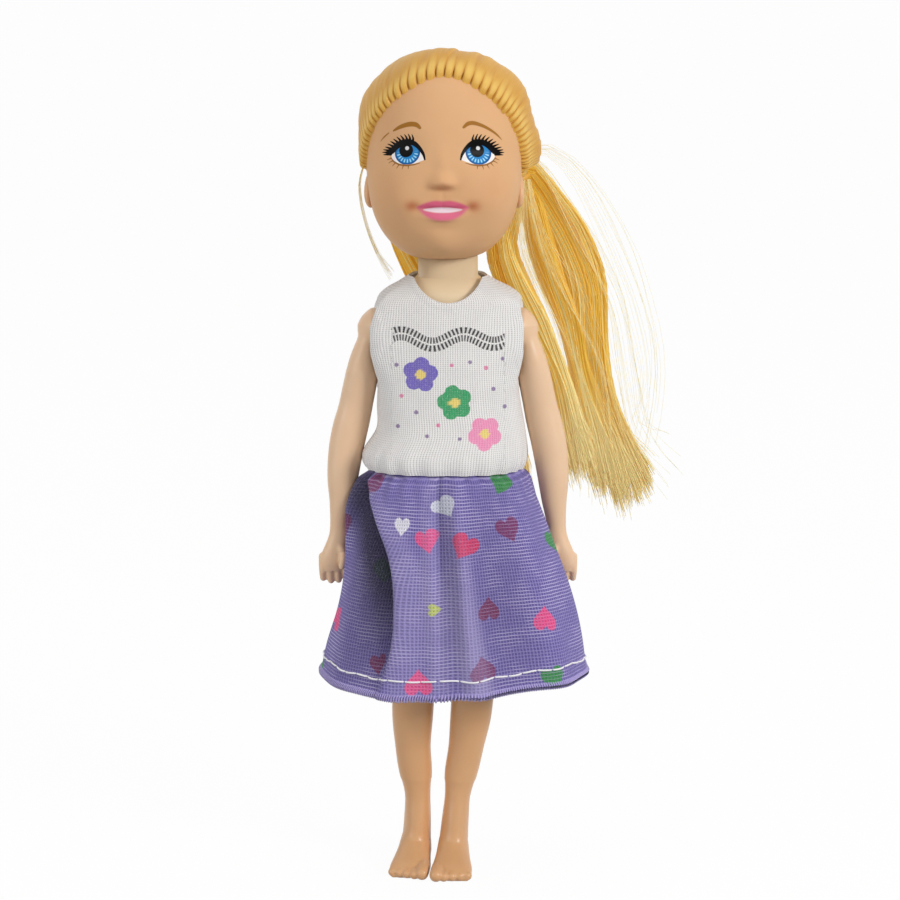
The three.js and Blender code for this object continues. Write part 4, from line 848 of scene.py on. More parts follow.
# each lock: points in the doll's axes after the tie, half widths from the tie on, and how many hairs;
# those of the nape lock are measured from the neck joint
tail = {
    "through": 1.3, "rings": 17, "radius": 0.115, "looseThrough": 1.2, "looseRadius": 0.026,
    "locks": [
        {"across": (2.4, 2.4, 3.2, 3.5, 3.0, 2.6, 2.6, 2.9, 3.4), "hairs": 1500,
         "points": [(13.7, 15.2, 116.8), (17.2, 14.6, 112.0), (20.6, 13.8, 106.0), (23.5, 13.2, 98.0),
                    (24.5, 13.0, 88.5), (26.0, 12.8, 79.5), (28.9, 12.6, 71.0), (32.0, 12.4, 62.5)]},
        {"across": (2.2, 2.2, 2.6, 2.5, 2.3, 1.9, 2.5, 3.0, 2.9), "hairs": 1350,
         "points": [(12.7, 15.2, 114.8), (14.4, 14.4, 111.0), (15.8, 13.6, 105.5), (17.9, 13.0, 99.0),
                    (20.6, 12.6, 92.0), (22.6, 12.4, 83.0), (25.4, 12.2, 73.0), (28.2, 12.0, 64.5)]},
        {"across": (2.0, 2.2, 2.7, 2.9, 2.8, 2.4, 2.3, 2.2, 2.4), "hairs": 1300,
         "points": [(11.9, 15.4, 114.6), (10.6, 14.6, 111.0), (9.0, 13.2, 105.0), (11.2, 11.8, 98.0),
                    (15.2, 11.2, 90.5), (18.6, 11.0, 82.0), (20.6, 10.8, 74.5), (22.6, 10.6, 67.5)]},
    ],
    "nape": {"across": (1.3, 2.3, 2.6, 1.3), "hairs": 1000,
             "points": [(-9.5, 9.4, 5.1), (-8, 11, 0.5), (-4, 11.9, -7), (1.6, 12.1, -15), (6.6, 11.7, -24),
                        (10.4, 10.9, -33), (13, 10, -40.5)]},
    # single loose hairs: points in the doll's axes, how far they scatter, and how many
    "wisp": [
        {"points": [(-13.2, 3, 121), (-14.6, 4, 116), (-13.8, 5, 110), (-11.8, 6, 104.5), (-9.2, 6, 100.5)],
         "across": (0.1, 0.2, 0.25, 0.3, 0.5), "hairs": 18, "fray": 0.2},
    ],
    "loose": [
        {"points": [(10.4, 13.6, 118.6), (15.0, 13.5, 121.4), (21, 12.5, 118), (27, 12, 108.5), (32, 12, 96),
                    (34.6, 12, 83), (32.6, 12, 71)],
         "across": (0.3, 1.4, 2.4, 3.0, 2.6, 2.0, 3.0), "hairs": 13, "fray": 1.5},
        {"points": [(10.4, 13.6, 118.6), (15.0, 13.5, 119.2), (22, 12, 108), (28, 12, 96), (30.5, 12, 84),
                    (33, 12, 73), (39, 12, 66)],
         "across": (0.3, 1.2, 2.2, 2.4, 2.2, 2.6, 2.6), "hairs": 18, "fray": 1.5},
        {"points": [(13, 13, 116), (14, 12, 106), (18, 11.5, 96), (23, 11.5, 84), (25.5, 11.5, 74),
                    (27, 11.5, 64)],
         "across": (1.0, 3.0, 5.0, 5.0, 5.0, 6.0), "hairs": 70, "fray": 1.5},
    ],
}


def strandsAlong(points, across, thick, hairs, seed, fray=1.0):
    # each hair keeps its place in the oval section of a lock, which widens and thins along it;
    # neighbouring hairs share slow waves, and the ends stop unevenly
    rng = np.random.default_rng(seed)
    path = evenly(points, 200)
    stop = 1 - 0.26 * rng.random(hairs) ** 2.4
    share = np.linspace(0, 1, tail["rings"]) * stop[:, None]
    line = np.stack([np.interp(share, np.linspace(0, 1, 200), path[:, k]) for k in range(3)], -1)
    along = unit(np.gradient(line, axis=1))
    over = unit(np.array([0.0, 1.0, 0.0]) - along * along[..., 1:2])
    side = np.cross(over, along)
    turn, far = rng.uniform(0, 2 * np.pi, hairs), np.sqrt(rng.random(hairs))
    a, b = (far * np.cos(turn))[:, None], (far * np.sin(turn))[:, None]
    wide = np.interp(share, np.linspace(0, 1, len(across)), across)
    deep = thick * (1 - 0.45 * share ** 2)
    clump = 0.10 * np.sin(9 * a + 2.2 * share * np.pi + seed) * ramp(share, 0.15, 0.5)
    wave = 0.05 * np.sin(3.1 * a + 14 * share + seed) + 0.04 * np.sin(2.3 * b + 9 * share + 2 * seed)
    stray = rng.normal(0, 1, (hairs, 1)) * 0.13 * ramp(share, 0.5, 1.0) * fray
    aside, behind = wide * (a + clump + wave + stray), deep * (b + wave)
    line = line + side * aside[..., None] + over * behind[..., None]
    line[..., 2] += rng.normal(0, 1.5, (hairs, 1)) * ramp(share, 0.8, 1) * fray
    # each hair's tone: slow bands across the lock as painted shade and highlight streaks, a random part,
    # paler further along, and painted shade on the hairs deep in the lock
    tone = 0.52 + 0.2 * np.sin(4.3 * a + 2.7 * b + 1.3 * seed + 1.2 * share)
    tone += 0.1 * np.sin(17 * a + 9 * b + 2 * share) + rng.normal(0, 0.2, (hairs, 1))
    tone += 0.14 * ramp(share, 0.3, 0.8) - 0.2 * (far < 0.5)[:, None]
    return line, share, np.clip(tone, 0, 1)


def makeLock(name, points, lock, seed, thinning, paling, paleFrom):
    # a lock of hairs that thin with the cube of their length and turn paler towards the tips
    line, share, tone = strandsAlong(points, lock["across"], tail["through"], lock["hairs"], seed)
    radius = tail["radius"] * (1 - thinning * share ** 3)
    return strandPiece(name, line, radius, tone, paling * ramp(share, paleFrom, 1.0))


def makeTail():
    # the locks of the tail, all from the tie on
    return [makeLock("tail_lock_" + str(k + 1), [tiePlace, *lock["points"]], lock, 11 + k, 0.55, 0.8, 0.6)
            for k, lock in enumerate(tail["locks"])]


def makeNape():
    # the lock that falls behind the neck
    points = np.array(tail["nape"]["points"]) + [0, 0, neckZ]
    return makeLock("nape_hair", points, tail["nape"], 31, 0.6, 0.7, 0.72)


def makeLooseHairs(rows, name, seed):
    # single thin pale hairs that leave the locks
    parts = [strandsAlong(row["points"], row["across"], tail["looseThrough"], row["hairs"], seed + k,
                          row["fray"]) for k, row in enumerate(rows)]
    line, share, tone = (np.concatenate([part[k] for part in parts]) for k in range(3))
    radius = np.full(share.shape, tail["looseRadius"])
    return strandPiece(name, line, radius, np.clip(tone + 0.4, 0, 1), np.full(share.shape, 0.9))


def makeElastic():
    # a round band: a circle carried round a circle square to the tail
    cos, sin = circle(56)
    side = unit(np.cross(fallWay, [0.0, 1.0, 0.0]))
    out = cos[:, None] * side + sin[:, None] * np.cross(side, fallWay)
    r = hair["bandRadius"]
    centre = tiePlace + fallWay * hair["bandDown"] + out * (hair["bandOuter"] - r)
    points = ringsAlong(centre, np.cross(fallWay, out), out, np.full(56, r), 18)
    return newPiece("elastic_band", points.reshape(-1, 3), gridFaces(56, 18, wrap=True, loop=True))


combedHair = hairCapMaterial()
looseHair = strandMaterial()
elasticRubber = plasticMaterial("elasticRubber", "#DDA640", "#C98F2C", 0.5, 0.4)
finished(makeHairCap(), combedHair, "hair_fibre", "head", "hair_cap")
finished(makeElastic(), elasticRubber, "hair_band", "head", "hair_elastic")
for k, lock in enumerate(makeTail()):
    finished(lock, looseHair, "hair_fibre", None, *(["ponytail"] if k == 0 else []))
    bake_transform(lock)
finished(makeLooseHairs(tail["wisp"], "loose_wisp", 81), looseHair, "hair_fibre", "head")
strays = finished(makeLooseHairs(tail["loose"], "loose_hairs", 71), looseHair, "hair_fibre")
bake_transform(strays)
nape = finished(makeNape(), looseHair, "hair_fibre", None, "nape_lock")
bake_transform(nape)
print("hair made")


# Body shells and the fastening

for name in ("torso_front", "torso_back"):
    # a merged copy of the moulded shell, shaded smooth except at its sharp edges
    shell = bpy.data.objects.new(name + "_smooth", frame["nodes"][name].data.copy())
    bpy.context.scene.collection.objects.link(shell)
    shell.modifiers.new("weld", "WELD").merge_threshold = 0.002 * mm
    settled(shell)
    shell.data.set_sharp_from_angle(angle=math.radians(38))
    finished(shell, shellPlastic, "body_plastic", "torso", name)
for name in ("closure_hook_strip", "closure_loop_strip"):
    for slot in frame["nodes"][name].material_slots:
        slot.material = tapeMaterial
print("body made")


# Limbs

def digit(points, firstRadius, lastRadius):
    # a round bar along a smooth path, with half round ends
    t = np.linspace(0, 1, 15)
    centre = through(points, t)
    along = unit(np.gradient(centre, axis=0))
    a = np.radians([84, 68, 50, 33, 16])
    centre = np.concatenate([centre[0] - along[0] * (firstRadius * np.sin(a))[:, None], centre,
                             (centre[-1] + along[-1] * (lastRadius * np.sin(a))[:, None])[::-1]])
    radius = np.concatenate([firstRadius * np.cos(a), firstRadius + (lastRadius - firstRadius) * t,
                             (lastRadius * np.cos(a))[::-1]])
    along = np.concatenate([np.repeat(along[:1], 5, 0), along, np.repeat(along[-1:], 5, 0)])
    side = unit(np.cross(along, np.where(np.abs(along[:, 2:]) > 0.9, [[0, 1.0, 0]], [[0, 0, 1.0]])))
    return closedRings(ringsAlong(centre, along, side, radius, 18))


def ovalRings(middle, wide, front, back, z, n):
    # horizontal ovals, each with its own depth in front of its middle and behind
    cos, sin = circle(n)
    deep = np.where(sin < 0, front[:, None], back[:, None])
    return np.stack([middle[0][:, None] + wide[:, None] * cos, middle[1][:, None] + deep * sin,
                     np.broadcast_to(z[:, None], (len(z), n))], -1)


def turnedX(profile, n=64):
    # a profile of [radius, x] carried round the X axis
    r, x = np.array(profile, float).T[:, :, None]
    cos, sin = circle(n)
    return closedRings(np.stack([np.broadcast_to(x, (len(x), n)), r * cos, r * sin], -1))


def mirrored(shells, side):
    # the left limb's shells, and for the right limb their mirror image
    return shells if side > 0 else [(p * [-1, 1, 1], [f[:, ::-1] for f in group]) for p, group in shells]


arm = {
    "shoulderRadius": 3.5, "length": 32.5, "cant": 4, "splay": 7.3, "wide": 4.9, "face": 0.36,
    "upper": 2.75, "elbow": 2.95, "wrist": 1.65, "finger": 0.66, "fingerLength": 4.4, "seat": 10.3,
    # the skin's grain, how often it is softened, and zones that are softened more: from, to and how often,
    # with heights from the shoulder
    "voxel": 0.15, "soften": 5, "zones": [(-7, 0.5, 110), (-39, -33, 12)],
}


def armShells(side):
    # a turned shoulder, ovals down the arm whose size and place come from the rows, and the hand
    f, r, wide, up, elbow, wrist, finger = (
        arm[k] for k in ("face", "shoulderRadius", "wide", "upper", "elbow", "wrist", "finger"))
    ball = turnedX([(0.05, f), (r * 0.86, f), (r * 0.96, f + 0.18), (r, f + 0.6), (r, f + wide * 0.36),
                    (r * 0.92, f + wide * 0.46), (r * 0.8, f + wide * 0.58), (r * 0.64, f + wide * 0.7),
                    (r * 0.44, f + wide * 0.8), (r * 0.24, f + wide * 0.87), (0.05, f + wide * 0.9)])
    mid = f + wide / 2
    rows = [
        (0.02, 0, 0, up * 0.6, up * 0.95), (0.14, 0.12, 0, up * 0.98, up * 1.08),
        (0.26, 0.27, 0.3, up * 1.04, up * 1.03), (0.38, 0.42, 0.7, up * 1.06, up * 0.98),
        (0.48, 0.56, 0.9, elbow * 1.05, elbow * 0.96),
        (0.6, 0.71, 0.8, elbow * 1.02, elbow * 0.92), (0.75, 0.84, 0.5, elbow * 0.9, elbow * 0.83),
        (0.88, 0.91, 0.3, wrist * 1.28, wrist * 1.2), (1, 1, 0.2, wrist, wrist * 0.95),
        (1.06, 1.04, 0.1, wrist * 1.08, wrist * 0.92), (1.14, 1.16, 0, finger * 3.3, wrist * 0.92),
        (1.2, 1.22, 0, finger * 3.5, wrist * 0.8), (1.24, 1.24, 0, finger * 3, wrist * 0.55),
    ]
    t = np.linspace(0.02, 1.24, 110)
    out, y, across, deep = between(rows, t)
    shaft = closedRings(ovalRings((mid + out * arm["splay"], y), across, deep, deep, -t * arm["length"], 48))
    palm, knuckles, long = mid + 1.22 * arm["splay"], -1.18 * arm["length"], arm["fingerLength"]
    shells = [ball, shaft]
    for n in (-1.5, -0.5, 0.5, 1.5):
        x, reach = palm + n * finger * 1.75, long * (0.86 if abs(n) > 1 else 1)
        shells.append(digit([(x, 0.1, knuckles + 0.6), (x + n * 0.1, -0.1, knuckles - reach * 0.45),
                             (x + n * 0.12, 0.5, knuckles - reach * 0.85)], finger, finger * 0.85))
    shells.append(digit([(palm - 1.2, -0.8, knuckles + 2.6), (palm - 1.9, -1.6, knuckles + 0.9),
                         (palm - 1.5, -1.9, knuckles - 0.9)], finger * 1.1, finger * 0.9))
    turn = turnMatrix("y", side * arm["cant"])
    place = np.array([side * arm["seat"], 0, shoulderZ])
    return [(p @ turn.T + place, group) for p, group in mirrored(shells, side)]


leg = {
    "hipRadius": 5.5, "inner": 3.6, "outer": 10.3, "thigh": 4.1, "knee": 3.45, "calf": 3.3, "ankle": 2.25,
    "ankleHeight": 12, "spread": 3.5, "footHalf": 3.45, "footFront": 9.4, "heel": 4.4, "lean": -1.8,
    "back": 1.3, "stride": 0.7, "footTurn": {1: 3, -1: 9},
    "voxel": 0.19, "soften": 3, "zones": [(5, 15, 200)],
    "soleWidth": 0.96, "soleSquare": 0.6, "soleEdge": 4, "arch": 1.7, "archAt": -1.2, "archReach": 4.2,
    "outerArch": 0.75, "outward": {1: 0.05, -1: 0.7}, "outwardAt": 0.36, "footShift": {1: -0.7, -1: 0},
    "toe": 0.88, "bigToe": 1.12,
}


def footShells(side):
    # rings across the foot from toes to heel, round above and flat below with an arch, and five toes
    w, front, heel = leg["footHalf"], leg["footFront"], leg["heel"]
    rows = [(heel, w * 0.4, 2.4), (heel - 0.6, w * 0.53, 4.6), (heel - 2.6, w * 0.62, 8.6),
            (0, w * 0.72, 9.4), (-front * 0.35, w * 0.84, 6.4), (-front * 0.66, w * 0.98, 4.0),
            (-front * 0.88, w * 0.98, 2.6), (-front * 1.02, w * 0.84, 1.5)][::-1]
    y = np.linspace(rows[0][0], rows[-1][0], 70)
    half, high = between(rows, y)
    cos, sin = circle(56)
    half, high, y = half[:, None], high[:, None], np.broadcast_to(y[:, None], (70, 56))
    edge = np.minimum(1, high / 2)
    along = np.minimum(1, np.abs(y - leg["archAt"]) / leg["archReach"])
    lift = leg["arch"] * np.cos(along * np.pi / 2) ** 2 * np.where(side * cos > 0, leg["outerArch"], 1)
    flatX = half * leg["soleWidth"] * np.sign(cos) * np.abs(cos) ** leg["soleSquare"]
    flatZ = lift + edge * (1 - np.minimum(1, -leg["soleEdge"] * sin))
    x = np.where(sin >= 0, half * cos, flatX)
    z = np.where(sin >= 0, edge + lift + (high - edge - lift) * sin, flatZ)
    shells = [closedRings(np.stack([x, y, z], -1))]
    for n in range(5):
        x = side * (-w * 0.7 + n * w * 0.365)
        r = leg["toe"] - n * 0.03 if n else leg["bigToe"]
        tip = -front - 1.7 + n * 0.36
        path = [(x * 0.94, tip + 4.2, r * 1.5), (x, tip + 2.4, r * 1.35), (x * 1.04, tip + r, r)]
        shells.append(digit(path, r * 0.95, r))
    return shells


def legShells(side):
    # a turned hip, ovals down the leg whose size and place come from the rows, and the foot
    face, r, down = leg["inner"], leg["hipRadius"], hipZ
    wide = leg["outer"] - face
    hip = turnedX([(0.05, face), (r * 0.96, face), (r, face + 0.25), (r, face + wide * 0.5),
                   (r * 0.97, face + wide * 0.66), (r * 0.9, face + wide * 0.8),
                   (r * 0.77, face + wide * 0.9), (r * 0.58, face + wide * 0.965),
                   (r * 0.3, face + wide * 0.995), (0.05, face + wide)])
    mid, calf, knee, thigh, ankle = (face + wide / 2, *(leg[k] for k in ("calf", "knee", "thigh", "ankle")))
    low, s = leg["ankleHeight"] / down, leg["spread"]
    rows = [
        (0.09, s, 1, ankle * 1.1, ankle * 2.1, ankle * 1.4),
        (low * 0.75, s, 0.86, ankle * 1.04, ankle * 1.72, ankle * 1.2),
        (low, s, 0.76, ankle, ankle * 1.33, ankle * 1.12),
        (0.3, s + 0.3, 0.66, ankle * 1.27, ankle * 1.25, ankle * 1.3),
        (0.38, s + 0.75, 0.58, calf * 0.92, calf * 0.9, calf * 1.03),
        (0.46, s + 1.15, 0.5, calf * 1.04, calf * 0.98, calf * 1.14),
        (0.53, s + 1.4, 0.44, calf * 1.08, calf * 1.03, calf * 1.15),
        (0.61, s + 1.6, 0.34, knee, knee * 1.1, knee * 1.05),
        (0.72, s + 2.0, 0.2, thigh * 0.95, thigh * 1.08, thigh * 1.08),
        (0.83, mid - 0.85, 0.06, thigh, thigh * 1.16, thigh * 1.18),
        (0.9, mid - 0.1, 0, wide * 0.49, r * 0.93, r * 0.93),
        (1, mid, 0, wide * 0.48, r * 0.9, r * 0.9),
    ]
    t = np.linspace(rows[0][0], 1, 130)
    cx, lean, half, front, back = between(rows, t)
    stance = leg["back"] - side * leg["stride"]
    outward = leg["outward"][side] * np.exp(-((t - leg["outwardAt"]) / 0.16) ** 2)
    shift = leg["footShift"][side]
    middle = (side * (cx + outward) + shift * ramp(t, 0.5, 0.1) + leg["lean"] * lean, stance * lean)
    shaft = closedRings(ovalRings(middle, half, front, back, (t - 1) * down, 60))
    turn = turnMatrix("z", -leg["footTurn"][side])
    place = np.array([side * s + leg["lean"] + shift, stance, -down])
    foot = [(p @ turn.T + place, group) for p, group in footShells(side)]
    return [(p + [0, 0, hipZ], group) for p, group in (*mirrored([hip], side), shaft, *foot)]


for side, word in ((1, "left"), (-1, "right")):
    zones = [(shoulderZ + low, shoulderZ + high, more) for low, high, more in arm["zones"]]
    limb = remeshed("arm_skin_" + word, armShells(side), arm["voxel"], arm["soften"], zones)
    finished(limb, armPlastic, "limb_plastic", "arm_" + word, "arm_" + word)
    limb = remeshed("leg_skin_" + word, legShells(side), leg["voxel"], leg["soften"], leg["zones"])
    finished(limb, legPlastic, "limb_plastic", "leg_" + word, "leg_" + word)
print("limbs made")


# Dress

chest = {"halfWidth": 10.7, "front": 6.8, "back": 6.9}
waist = {"rise": 14.3, "lap": 2.5}


def lapped(u, half, front, back, z, power, step):
    # a squared oval round the body; u runs round from one back edge to the other, which laps over it
    lapAngle = waist["lap"] / (half + back)  # about the angle that the lap takes on this oval
    a = (np.pi / 2 - lapAngle) * (1 - u) + (2.5 * np.pi + lapAngle) * u
    y = bulge(np.sin(a), power)
    under = 1 - ramp(u, 0.04, 0.1)
    return np.stack([half * bulge(np.cos(a), power),
                     np.where(y < 0, front, back) * y - step * under * np.maximum(0, y), z], -1)


bodice = {
    "thick": 0.45, "top": 46.3875, "power": 2.4, "step": 1.815,
    "cols": 404, "rows": 146, "rib": 0.4, "course": 0.34,
    # share of the height, how far the side, front and back stand off the chest, and the shift to the left
    "rowShapes": [
        (0, 2.3, 2.7, 2.4, -0.45), (0.035, 2.85, 3.1, 2.7, -0.5), (0.09, 2.9, 3.1, 2.7, -0.4),
        (0.2, 1.7, 2.2, 2.4, 0.4), (0.33, 1.3, 1.6, 2.3, 0.1), (0.46, 0.95, 1.4, 2.2, 0),
        (0.58, 0.8, 1.2, 2.2, 0), (0.71, 0.8, 0.8, 2.2, 0), (0.81, 0.9, 0.4, 2.1, 0.1),
        (0.88, 1.0, -0.1, 1.9, 0.2),
        (0.925, -0.3, -0.7, 1.5, 0.1), (0.965, -2.5, -1.0, 1.2, 0), (1, -4.3, -1.2, 1.0, 0)],
    "flapRise": 36.4, "flapTall": 7.0, "flapOut": 2.5, "hemWide": 1.0, "hemLift": 0.1,
    "necklineHalf": 6.4, "frontDrop": 7.6, "backDrop": 4.4, "neckMiddle": 3.6,
    "armholeDeep": 4.7, "armholeTall": 6.7, "armholeZ": 35.8, "armholeInner": 6.3,
}


def bodiceShape(u, v, lift):
    # squared ovals up the body; beside the armholes the front and the back stand out past the arm
    side, front, back, shift = between(bodice["rowShapes"], v)
    rise = waist["rise"] + (bodice["top"] - waist["rise"]) * v
    p = lapped(u, chest["halfWidth"] + side + lift, chest["front"] + front + lift,
               chest["back"] + back + lift, hipZ + rise, bodice["power"], bodice["step"])
    flap = bodice["flapOut"] * np.exp(-((rise - bodice["flapRise"]) / bodice["flapTall"]) ** 2)
    flap = flap * ramp(np.abs(p[..., 0]), 6.0, 10.5) * ramp(np.abs(p[..., 1]), 2.5, 4.6)
    p[..., 0] += np.sign(p[..., 0]) * flap + shift
    return p


def bodicePoints(u, v):
    # soft folds, small gathers above the waist, and the turned hem round the neck and the armholes
    creases = 0.2 * ripple(u * 30, v * 6, 21, 6) * (1 - 0.6 * ramp(v, 0.75, 1))
    creases += 0.24 * np.sin(2 * np.pi * u * 23 + 1.5 * np.sin(5 * u)) * np.exp(-(v / 0.1) ** 2)
    x, y, z = np.moveaxis(bodiceShape(u, v, 0), -1, 0)
    drop = np.where(y < 0, bodice["frontDrop"], bodice["backDrop"])
    top = hipZ + bodice["top"] + bodice["neckMiddle"]
    fromNeck = (np.hypot(x / bodice["necklineHalf"], (z - top) / drop) - 1) * drop
    deep, rise = bodice["armholeDeep"], z - hipZ - bodice["armholeZ"]
    fromArm = (np.hypot(y / deep, rise / bodice["armholeTall"]) - 1) * deep
    fromArm = np.where(np.abs(x) > bodice["armholeInner"] + 2, fromArm, farOff)
    edge = np.minimum(fromNeck, fromArm)
    hem = bodice["hemLift"] * (1 - ramp(edge, bodice["hemWide"] - 0.1, bodice["hemWide"] + 0.15))
    return bodiceShape(u, v, creases + hem)


def ovalCutter(name, centre, halves, length, axis):
    # a bar of oval section along x or y
    cos, sin = circle(72)
    ring = np.zeros((2, 72, 3))
    ring[..., 2] = halves[1] * sin
    ring[..., 1 if axis == "x" else 0] = halves[0] * cos
    ring[..., 0 if axis == "x" else 1] = [[-length / 2], [length / 2]]
    return newPiece(name, *closedRings(ring + centre))


# the print on the chest: plain flowers on a slant below a double wavy row of black dashes, and dots
chestPrint = {
    "flowers": [((-4.5, 85.8), 2.9, 0.2, "#6F5FBE"), ((1.1, 81.3), 2.9, 0.55, "#1E9E5E"),
                ((6.0, 76.2), 2.8, 0.9, "#F493BC")],
    "middles": "#F2D873", "petalOut": 0.56, "petal": 0.45, "heart": 0.5, "middle": 0.24,
    "dots": [((-8.4, 87.3), "#8E78A0"), ((0.6, 87.4), "#E57FA8"), ((3.6, 87.9), "#8E78A0"),
             ((-7.6, 82.2), "#E57FA8"), ((-5.2, 79.6), "#8E78A0"), ((-1.6, 77.6), "#E57FA8"),
             ((7.4, 83.4), "#8E78A0"), ((1.9, 75.4), "#8E78A0"), ((-3.4, 75.8), "#8E78A0"),
             ((6.2, 86.9), "#E57FA8"), ((9.3, 80.4), "#8E78A0"), ((-8.2, 77.2), "#8E78A0"),
             ((8.9, 88.3), "#8E78A0")],
    "dotRadius": 0.36, "dash": "#121014",
    "waveZ": 91.6, "waveHigh": 0.85, "waveRate": 0.62, "waveHalf": 9.3, "rowApart": 0.64, "rowHalf": 0.5,
    "dashPitch": 0.56,
}


def paintChest(piece, p, front):
    # the distance to the nearest flower's or dot's edge with its colour, and for the wavy line
    # how far each point lies off it and along it
    gap = np.full(len(p), farOff)
    colour = np.tile(rgb("#FFFFFF"), (len(p), 1))

    def lay(distance, text):
        gap[:] = np.minimum(gap, distance)
        colour[distance < 0.12] = rgb(text)

    for middle, size, turn, text in chestPrint["flowers"]:
        a = turn + 2 * np.pi * np.arange(5) / 5
        petals = middle + size * chestPrint["petalOut"] * np.stack([np.cos(a), np.sin(a)], -1)
        out = np.linalg.norm(p[:, None] - petals[None], axis=2).min(1) - size * chestPrint["petal"]
        fromMiddle = np.linalg.norm(p - middle, axis=1)
        lay(np.minimum(out, fromMiddle - size * chestPrint["heart"]), text)
        lay(fromMiddle - size * chestPrint["middle"], chestPrint["middles"])
    for middle, text in chestPrint["dots"]:
        lay(np.linalg.norm(p - middle, axis=1) - chestPrint["dotRadius"], text)
    paint(piece, "ink", np.where(front, gap, farOff))
    paint(piece, "inkColour", colour)
    x, z = p.T
    high, rate = chestPrint["waveHigh"], chestPrint["waveRate"]
    slope = high * rate * np.cos(rate * x)
    above = (z - chestPrint["waveZ"] - high * np.sin(rate * x)) / (1 + slope ** 2)
    paint(piece, "waveOff", np.where(front & (np.abs(x) < chestPrint["waveHalf"]),
                                     above * np.sqrt(1 + slope ** 2), farOff))
    paint(piece, "waveRun", x + above * slope)


def makeBodice():
    # a thick sheet of knit round the body, its cloth plan as UV, with the neck and the armholes cut out
    t = np.linspace(0, 1, bodice["cols"])
    v, u = np.meshgrid(np.linspace(0, 1, bodice["rows"]), t + 0.06 * np.sin(4 * np.pi * t), indexing="ij")
    grid = bodicePoints(u, v)
    points, faces = thickSheet(grid, bodice["thick"])
    middleRow = grid[len(grid) // 2]
    length = np.append(0, np.cumsum(np.linalg.norm(np.diff(middleRow, axis=0), axis=1)))
    flat = np.stack(np.broadcast_arrays(length[None], v * (bodice["top"] - waist["rise"])), -1).reshape(-1, 2)
    flat = np.concatenate([flat, flat])
    piece = newPiece("bodice_knit", points, faces, [flat[faces[0]]])
    outside = np.arange(len(points)) < grid[..., 0].size
    paintChest(piece, points[:, [0, 2]], (points[:, 1] < 0) & outside)
    back, half, long = chest["back"], bodice["necklineHalf"], 2 * chest["back"]
    top, armZ = hipZ + bodice["top"] + bodice["neckMiddle"], hipZ + bodice["armholeZ"]
    out, armHalves = bodice["armholeInner"] + 6, (bodice["armholeDeep"], bodice["armholeTall"])
    cutters = [
        ovalCutter("cutFront", (0, -back, top), (half, bodice["frontDrop"]), long, "y"),
        ovalCutter("cutBack", (0, back, top), (half, bodice["backDrop"]), long, "y"),
        ovalCutter("cutLeft", (out, 0, armZ), armHalves, 8, "x"),
        ovalCutter("cutRight", (-out, 0, armZ), armHalves, 8, "x"),
    ]
    for cutter in cutters:
        cut = piece.modifiers.new("cut", "BOOLEAN")
        cut.operation, cut.object, cut.solver = "DIFFERENCE", cutter, "MANIFOLD"
    settled(piece)
    for cutter in cutters:
        bpy.data.objects.remove(cutter)
    piece.data.set_sharp_from_angle(angle=math.radians(50))
    return piece


def clothAxes(tree):
    # the cloth's own UV in millimetres, and its parts along the cloth and up it
    uv = addNode(tree, "UVMap", uv_map="UVMap")
    split = tree.nodes.new("ShaderNodeSeparateXYZ")
    tree.links.new(uv, split.inputs[0])
    return uv, split.outputs[0], split.outputs[1]


def knitMaterial():
    # columns of small V stitches from the cloth's own UV: upright ribs, each crossed by slanting loops;
    # the ink lies on the raised loops and leaves the hollows paler
    material, tree, shader = startMaterial("whiteKnit", Roughness=0.9, Sheen_Weight=0.25)
    uv, alongCloth, upCloth = clothAxes(tree)
    rib = waves(tree, alongCloth, bodice["rib"])
    loops = waves(tree, upCloth, bodice["course"], times(tree, sums(tree, "ABSOLUTE", rib), 1.6))
    height = sums(tree, "MULTIPLY_ADD", loops, 0.6, rib)
    uneven = times(tree, sums(tree, "SUBTRACT", noise(tree, uv, 1.7, 4.0), 0.5), 0.25)
    printed = spread(tree, sums(tree, "ADD", uneven, readPoint(tree, "ink")), 0.07, -0.07)
    hollow = spread(tree, height, -1.5, -0.6, 0.72, 0.97)
    # two rows of dashes: the distance from the nearer row's middle, and a wave along the line
    off = sums(tree, "ABSOLUTE", readPoint(tree, "waveOff"))
    row = sums(tree, "ABSOLUTE", sums(tree, "SUBTRACT", off, chestPrint["rowApart"]))
    half = chestPrint["rowHalf"]
    run = times(tree, readPoint(tree, "waveRun"), 2 * math.pi / chestPrint["dashPitch"])
    dash = times(tree, spread(tree, sums(tree, "ADD", uneven, row), half + 0.06, half - 0.06),
                 spread(tree, sums(tree, "COSINE", run), -0.25, 0.2, 0.12, 1.0))
    # the hollows between the loops are painted grey, as painted shade
    colour = layered(tree, "#C2BEBB", (spread(tree, height, -1.5, -0.1), "#F0EEEC"),
                     (spread(tree, noise(tree, uv, 0.35, 2.0), 0.35, 0.75, 0, 0.25), "#DAD6D6"),
                     (times(tree, printed, hollow), readPoint(tree, "inkColour", 0)),
                     (times(tree, dash, hollow), chestPrint["dash"]))
    made = useGroup(tree, fuzz, {"Colour": colour, "Fibre": "#F4F2F1", "Amount": 0.22})
    feed(tree, shader, {"Base Color": made["Colour"]})
    bumped(tree, shader, sums(tree, "MULTIPLY_ADD", made["Height"], 0.7, height), 0.06, 0.6)
    return material


